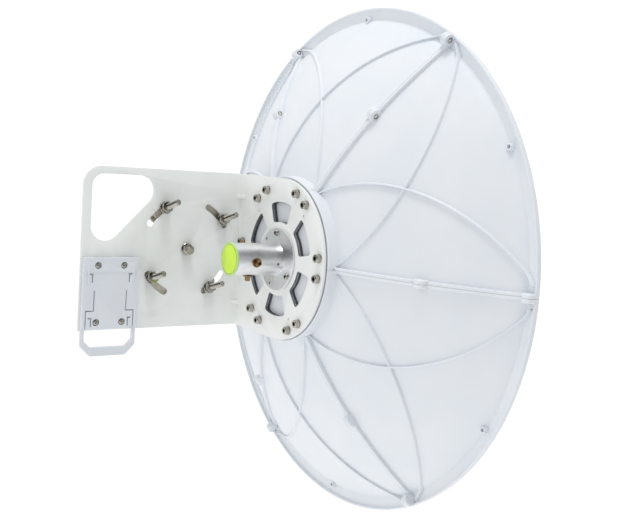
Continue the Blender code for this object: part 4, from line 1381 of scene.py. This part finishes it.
@dataclass
class RadioClip:
    """The moulded clip on the side plate, with its spring arms, hooks and bail."""

    material: bpy.types.Material
    steel: bpy.types.Material
    face: float = -99.7
    base: float = 7.5
    near: float = 261.5
    far: float = 332.0
    low: float = -98.5
    high: float = -10.0
    panel_low: float = -27.5
    bail_low: float = -133.0
    bail_leg: float = 3.8
    rail: Outline = ((4.8, -43.0), (7.6, -43.0), (7.6, -18.0), (4.8, -18.0))
    slit: Outline = ((13.8, -51.0), (15.0, -51.0), (15.0, -76.7), (5.0, -76.7), (5.0, -104.0), (3.8, -104.0),
                     (3.8, -75.5), (13.8, -75.5))
    hook: Outline = ((7.4, 0.0), (12.2, 0.0), (12.2, -11.5), (10.6, -11.5), (10.6, -1.6), (7.4, -1.6))
    hook_heights: Pair = (-29.5, -84.5)

    def side_prisms(self, offsets: Outline, low: float, high: float) -> list[BMesh]:
        """A prism drawn from the clip's near edge inwards, and its twin at the far edge.

        Args:
            offsets: Distance from the edge and height of each corner.
            low: First level along x.
            high: Second level along x.

        Returns:
            The two prisms.
        """
        near = [(self.near + offset, height) for offset, height in offsets]
        far = [(self.far - offset, height) for offset, height in offsets]
        return [prism(outline, low, high, "zy") for outline in (near, far)]

    def bail(self) -> BMesh:
        """The bail below the clip: two legs and a wide bar with cut corners.

        Returns:
            The bail.
        """
        shapes = []
        for inset, rise, cut, margin in ((0.0, 0.0, 12.5, 0.0), (self.bail_leg, 10.8, 8.7, 4.0)):
            low = self.bail_low + rise
            top = self.low + 2 + inset
            near = self.near + inset
            far = self.far - inset
            outline = [(near, top), (near, low + cut), (near + cut, low), (far - cut, low), (far, low + cut),
                       (far, top)]
            shapes.append(prism(outline, self.face + 1.0 - margin, self.face + 6.0 + margin, "zy"))
        loop = fuse(shapes[0], (Fusing.CUT, [shapes[1]]))
        return round_corners(loop, "x", 1.6, 4, lambda spot: spot.y < self.low - 8)

    def body(self) -> BMesh:
        """The whole moulding.

        Returns:
            The clip as one solid.
        """
        top = self.face + self.base
        over = top + 5
        base = round_corners(block((self.face, self.low, self.near), (top, self.high, self.far)), "x", 1.5, 4)
        panel = block((top - 1, self.panel_low, self.near), (top + 1.0, self.high, self.far))
        joined = [round_corners(panel, "x", 1.2, 4), self.bail()]
        joined += [soften(piece, 0.6, 3) for piece in self.side_prisms(self.rail, top - 1, top + 2.0)]
        cuts = self.side_prisms(self.slit, self.face - 5, over)
        for start in self.hook_heights:
            cuts += self.side_prisms([(across, start + up) for across, up in self.hook], top - 5.0, over)
        for spot in CLIP_SCREW_SPOTS:
            cuts.append(bar((self.face - 5, *spot), (over, *spot), 2.4, 20))
            cuts.append(bar((top - 3.0, *spot), (over, *spot), 4.4, 32))
        return soften(fuse(base, (Fusing.JOIN, joined), (Fusing.CUT, cuts)), 0.35, 2, 60.0)

    def build(self) -> None:
        """Make the clip and its four screws."""
        settle("radio_clip_moulding", self.body(), self.material, "radio_clip")
        seat = self.face + self.base - 2.7
        shank = bar((0, 0, -104.5), (0, 0, seat + 0.5), 2.0, 20)
        screw = fuse(socket_head(seat, seat + 2.4, 3.8, 2.6), (Fusing.JOIN, [shank]))
        for number, spot in enumerate(CLIP_SCREW_SPOTS, start=1):
            settle(f"clip_pan_screw_{number}", screw, self.steel, f"clip_screw_{number}",
                   Matrix.Translation((0, *spot)) @ LAID_DOWN)


@dataclass
class MastBracket:
    """The saddle with its jaws, the two loose clamps, their long bolts and the pivot's nut."""

    plated: bpy.types.Material
    steel: bpy.types.Material
    web: float = 3.0
    pad: float = 1.2
    pad_half: Pair = (14.0, 22.0)
    span_y: float = 84.0
    span_z: float = 91.0
    bar_length: float = 52.0
    bar_low: float = 32.0
    bar_high: float = 63.0
    bar_corner: float = 16.0
    waist: float = 17.0
    clamp_length: float = 49.5
    clamp_height: float = 11.0
    clamp_corner: float = 9.0
    saddle_reach: float = 10.0
    clamp_reach: float = 12.0
    jaw_half: Pair = (36.0, 25.0)
    jaw_wall: float = 3.0
    notch_depth: float = 8.0
    notch_width: float = 18.0
    teeth: int = 7
    tooth_depth: float = 0.9
    web_corner: float = 3.0
    plate_middle: float = -6.0
    plate_near: float = -7.8
    droop: float = 17.0
    bolt_radius: float = 3.85
    thread_pitch: float = 1.25
    across_flats: float = 13.0
    tip: float = -39.5
    head_face: float = 35.5

    def bolt_rows(self) -> Pair:
        """Where the bolts stand across the mast."""
        return (-self.span_y / 2, self.span_y / 2)

    def jaws(self, start: float, reach: float, low: float, high: float) -> list[BMesh]:
        """A pair of jaw walls with a toothed V notch.

        Args:
            start: Level of the web that they stand on.
            reach: Signed height of the walls towards the mast.
            low: Lower edge of the lower wall.
            high: Upper edge of the upper wall.

        Returns:
            The two walls.
        """
        toward = math.copysign(1.0, reach)
        tip = start + reach
        apex = tip - toward * self.notch_depth
        foot_half, tip_half = self.jaw_half
        outline = [(start, -foot_half), (tip, -tip_half), (tip, -self.notch_width)]
        for tooth, (step, bite) in product(range(self.teeth), ((0.5, self.tooth_depth), (1, 0.0))):
            share = (tooth + step) / self.teeth
            outline.append((tip + (apex - tip) * share - toward * bite, -self.notch_width * (1 - share)))
        outline += [(level, -across) for level, across in reversed(outline[:-1])]
        return [prism(outline, edge, edge + self.jaw_wall, "xy") for edge in (low, high - self.jaw_wall)]

    def saddle(self) -> BMesh:
        """The saddle: an I-shaped web, four jaw walls, the pad and the welded pivot stud.

        Returns:
            The saddle in mast axes.
        """
        near = -self.pad - self.web
        root = -self.pad - 1
        length, low, high, cut = self.bar_length, self.bar_low, self.bar_high, self.bar_corner
        outline = both_sides([
            (length - cut, -high), (length, -high + cut), (length, -low), (self.waist, -low),
            (self.waist, low), (length, low), (length, high - cut), (length - cut, high),
        ])
        web = round_corners(prism(outline, near, -self.pad, "yz"), "x", self.web_corner, 5)
        across, up = self.pad_half
        joined = [round_corners(block((root, -across, -up), (0, across, up)), "x", self.web_corner, 5)]
        for edges in ((low, high), (-high, -low)):
            joined += self.jaws(root, self.saddle_reach + 1, *edges)
        rod = threaded(4.0, 0.0, 13.9, self.thread_pitch, 0.55)
        stud = moved(rod, Matrix.Translation((near + 1, 0, 0)) @ Matrix.Rotation(-QUARTER_TURN, 4, "Y"))
        drop = (near / 2 - self.pad / 2 - self.plate_middle) * math.tan(math.radians(self.droop))
        holes = []
        for across, up in product(self.bolt_rows(), (-self.span_z / 2, self.span_z / 2)):
            holes.append(bar((near - 5, across, up - drop), (5, across, up - drop), 4.8, 28))
        solid = fuse(web, (Fusing.JOIN, joined), (Fusing.CUT, holes))
        return join_up(soften(solid, 0.3, 2, 60.0), stud)

    def clamp(self) -> BMesh:
        """An outer clamp.

        Returns:
            The clamp in clamp axes.
        """
        far = self.head_face - 0.3
        near = far - self.web
        end, side, cut = self.clamp_length, self.clamp_height, self.clamp_corner
        outline = both_sides([(end - cut, -side), (end, cut - side), (end, side - cut), (end - cut, side)])
        web = round_corners(prism(outline, near, far, "yz"), "x", self.web_corner, 5)
        jaws = self.jaws(near + 1, -self.clamp_reach - 1, -side, side)
        holes = [bar((near - 5, across, 0), (far + 5, across, 0), self.bolt_radius + 0.25, 28)
                 for across in self.bolt_rows()]
        return soften(fuse(web, (Fusing.JOIN, jaws), (Fusing.CUT, holes)), 0.3, 2, 60.0)

    def bolt(self) -> BMesh:
        """A long threaded bolt with its head, and the nut and washers at the near end.

        Returns:
            The bolt along z.
        """
        bore = self.bolt_radius + 0.05
        plain, spring = -5.94, -7.6
        return join_up(
            threaded(self.bolt_radius, self.tip, self.head_face + 0.5, self.thread_pitch, 0.5),
            hexagon(self.head_face, self.head_face + 5.3, self.across_flats),
            chamfered_ring(bore, 8.0, plain, -4.34, 0.4),
            chamfered_ring(bore, 6.4, spring, plain, 0.3),
            hex_nut(spring, -12.4, self.across_flats, bore),
        )

    def build(self) -> None:
        """Make the mast bracket's pieces."""
        settle("jawed_pole_saddle", self.saddle(), self.plated, "pole_saddle", body=Body.MAST,
               sharp=30.0)
        seat = self.plate_near
        nut = join_up(chamfered_ring(4.3, 8.0, seat - 1.6, seat, 0.4),
                      hex_nut(seat - 1.6, seat - 8.1, self.across_flats, 4.3))
        settle("pivot_hex_nut", nut, self.steel, "pivot_nut", LAID_DOWN, Body.MAST)
        clamp = self.clamp()
        bolt = self.bolt()
        tilt = Matrix.Rotation(math.radians(self.droop), 4, "Y")
        number = 0
        for name, height in (("upper", self.span_z / 2), ("lower", -self.span_z / 2)):
            hang = Matrix.Translation((self.plate_middle, 0, height)) @ tilt
            settle(f"jawed_clamp_{name}", clamp, self.plated, f"outer_clamp_{name}", hang,
                   Body.MAST, 30.0)
            for across in self.bolt_rows():
                number += 1
                place = hang @ Matrix.Translation((0, across, 0)) @ LAID_DOWN
                settle(f"long_clamp_bolt_{number}", bolt, self.steel, f"clamp_bolt_{number}",
                       place, Body.MAST)


@dataclass
class Studio:
    """Camera, floor and soft light. Sizes are in metres and aims are directions."""

    place: Spot = (-1.06112, 0.53549, 0.03925)
    right: Spot = (-0.55388, -0.80737, 0.20342)
    up: Spot = (0.12761, 0.15911, 0.97898)
    lens: float = 52.488
    sensor: float = 36.0
    floor_level: float = -0.95
    floor_radius: float = 6.0
    floor_glow: float = 0.15
    surround_light: float = 0.93
    paper_white: float = 1.05
    dim_aim: Spot = (-0.97, 0.1, -0.2)
    dim_light: float = 0.36
    dim_reach: Pair = (0.35, 0.9)
    dark_aims: tuple[Spot, ...] = (
        (-0.8, 0.3, -0.52), (-0.1, 0.95, 0.25), (-0.75, 0.1, 0.75), (0.5, 0.8, -0.3)
    )
    dark_light: float = 0.03
    dark_reach: Pair = (0.80, 0.90)
    lamp_place: Spot = (-0.5, 0.5, 2.0)
    lamp_aim: Spot = (-0.1, -0.1, 0.0)
    lamp_size: float = 0.6
    lamp_power: float = 15.0

    def camera(self) -> None:
        """Set the camera at the photograph's viewing angle."""
        data = bpy.data.cameras.new("studio_camera")
        data.lens = self.lens
        data.sensor_width = self.sensor
        data.sensor_fit = "HORIZONTAL"
        data.clip_start = 0.01
        camera = bpy.data.objects.new("studio_camera", data)
        bpy.context.scene.collection.objects.link(camera)
        side = Vector(self.right).normalized()
        back = side.cross(Vector(self.up)).normalized()
        turn = Matrix((side, back.cross(side), back)).transposed().to_4x4()
        camera.matrix_world = Matrix.Translation(self.place) @ turn
        bpy.context.scene.camera = camera

    def floor(self) -> None:
        """Lay a plain pale floor well below the antenna."""
        shape = bmesh.new()
        bmesh.ops.create_circle(shape, cap_ends=True, segments=96, radius=self.floor_radius,
                                matrix=Matrix.Translation((0, 0, self.floor_level)))
        mesh = bpy.data.meshes.new("studio_floor")
        shape.to_mesh(mesh)
        made, _, shader = Finish("white_paper_floor", "#FFFFFF", 0.9).shader()
        shader.inputs["Emission Color"].default_value = linear("#FFFFFF")
        shader.inputs["Emission Strength"].default_value = self.floor_glow
        mesh.materials.append(made)
        floor = bpy.data.objects.new("studio_floor", mesh)
        bpy.context.scene.collection.objects.link(floor)

    def lamp(self) -> None:
        """Hang a soft box overhead."""
        data = bpy.data.lights.new("overhead_softbox", "AREA")
        data.shape = "DISK"
        data.size = self.lamp_size
        data.energy = self.lamp_power
        lamp = bpy.data.objects.new("overhead_softbox", data)
        lamp.location = self.lamp_place
        aim = Vector(self.lamp_aim) - Vector(self.lamp_place)
        lamp.rotation_euler = aim.to_track_quat("-Z", "Y").to_euler()
        lamp.visible_camera = False
        bpy.context.scene.collection.objects.link(lamp)

    def patch(self, tree: bpy.types.NodeTree, aim: Spot, reach: Pair, outside: float,
              inside: float) -> bpy.types.NodeSocket:
        """A soft round patch in the surroundings.

        Args:
            tree: The world's node tree.
            aim: Direction of the patch's middle.
            reach: Cosines of the angles where it begins and where it is full.
            outside: The light's strength outside.
            inside: Its strength at the patch's middle.

        Returns:
            The light's strength.
        """
        sky = add_node(tree, "ShaderNodeTexCoord", {})
        toward = add_node(tree, "ShaderNodeVectorMath", {"operation": "DOT_PRODUCT"},
                          {0: sky.outputs["Generated"]})
        toward.inputs[1].default_value = Vector(aim).normalized()
        limits = {"From Min": reach[0], "From Max": reach[1], "To Min": outside, "To Max": inside,
                  "interpolation_type": "SMOOTHSTEP"}
        spread = add_node(tree, "ShaderNodeMapRange", limits, {"Value": toward.outputs["Value"]})
        return spread.outputs["Result"]

    def surround(self) -> None:
        """White surroundings, dimmer behind the camera.

        Reflections also see a few dark patches, so that bright metal has something to reflect, and the camera
        sees plain paper white.
        """
        world = bpy.data.worlds.new("studio")
        world.use_nodes = True
        bpy.context.scene.world = world
        tree = world.node_tree
        background = tree.nodes["Background"]
        background.inputs["Color"].default_value = linear("#FFFFFF")
        path = add_node(tree, "ShaderNodeLightPath", {})
        dim = self.patch(tree, self.dim_aim, self.dim_reach, self.surround_light, self.dim_light)
        shiny = dim
        for aim in self.dark_aims:
            dark = self.patch(tree, aim, self.dark_reach, 1.0, self.dark_light)
            both = add_node(tree, "ShaderNodeMath", {"operation": "MULTIPLY"}, {0: shiny, 1: dark})
            shiny = both.outputs[0]
        reflected = {0: path.outputs["Is Glossy Ray"], 2: dim, 3: shiny}
        level = add_node(tree, "ShaderNodeMix", {"data_type": "FLOAT"}, reflected)
        seen = add_node(tree, "ShaderNodeMix", {"data_type": "FLOAT"},
                        {0: path.outputs["Is Camera Ray"], 2: level.outputs[0]})
        seen.inputs[3].default_value = self.paper_white
        tree.links.new(seen.outputs[0], background.inputs["Strength"])

    def build(self) -> None:
        """Set up the whole studio."""
        self.camera()
        self.floor()
        self.surround()
        self.lamp()
        view = bpy.context.scene.view_settings
        view.view_transform = "Standard"
        view.look = "None"


def main() -> None:
    """Build the antenna and its studio."""
    logging.basicConfig(level=logging.INFO, format="%(name)s %(message)s")
    Studio().build()
    steel = STEEL_FINISH.make()
    aluminium = ALUMINIUM_FINISH.make()
    shadow = SHADOW_FINISH.make()
    Reflector(PETAL_FINISH.make(), POCKET_WALL_SHADE_FINISH.make()).build()
    BracketPlate(BRACKET_FINISH.make(), WINDOW_WALL_SHADE_FINISH.make()).build()
    HubBolts(steel, shadow).build()
    SeamScrews(steel, shadow).build()
    FeedPort(aluminium, steel, BRASS_FINISH.make(), CAP_FINISH.make(), RIM_FINISH.make(), shadow).build()
    FrontFeed(aluminium, FEED_FINISH.make()).build()
    RadioClip(CLIP_FINISH.make(), steel).build()
    MastBracket(PLATED_FINISH.make(), steel).build()


if __name__ == "__main__":
    main()
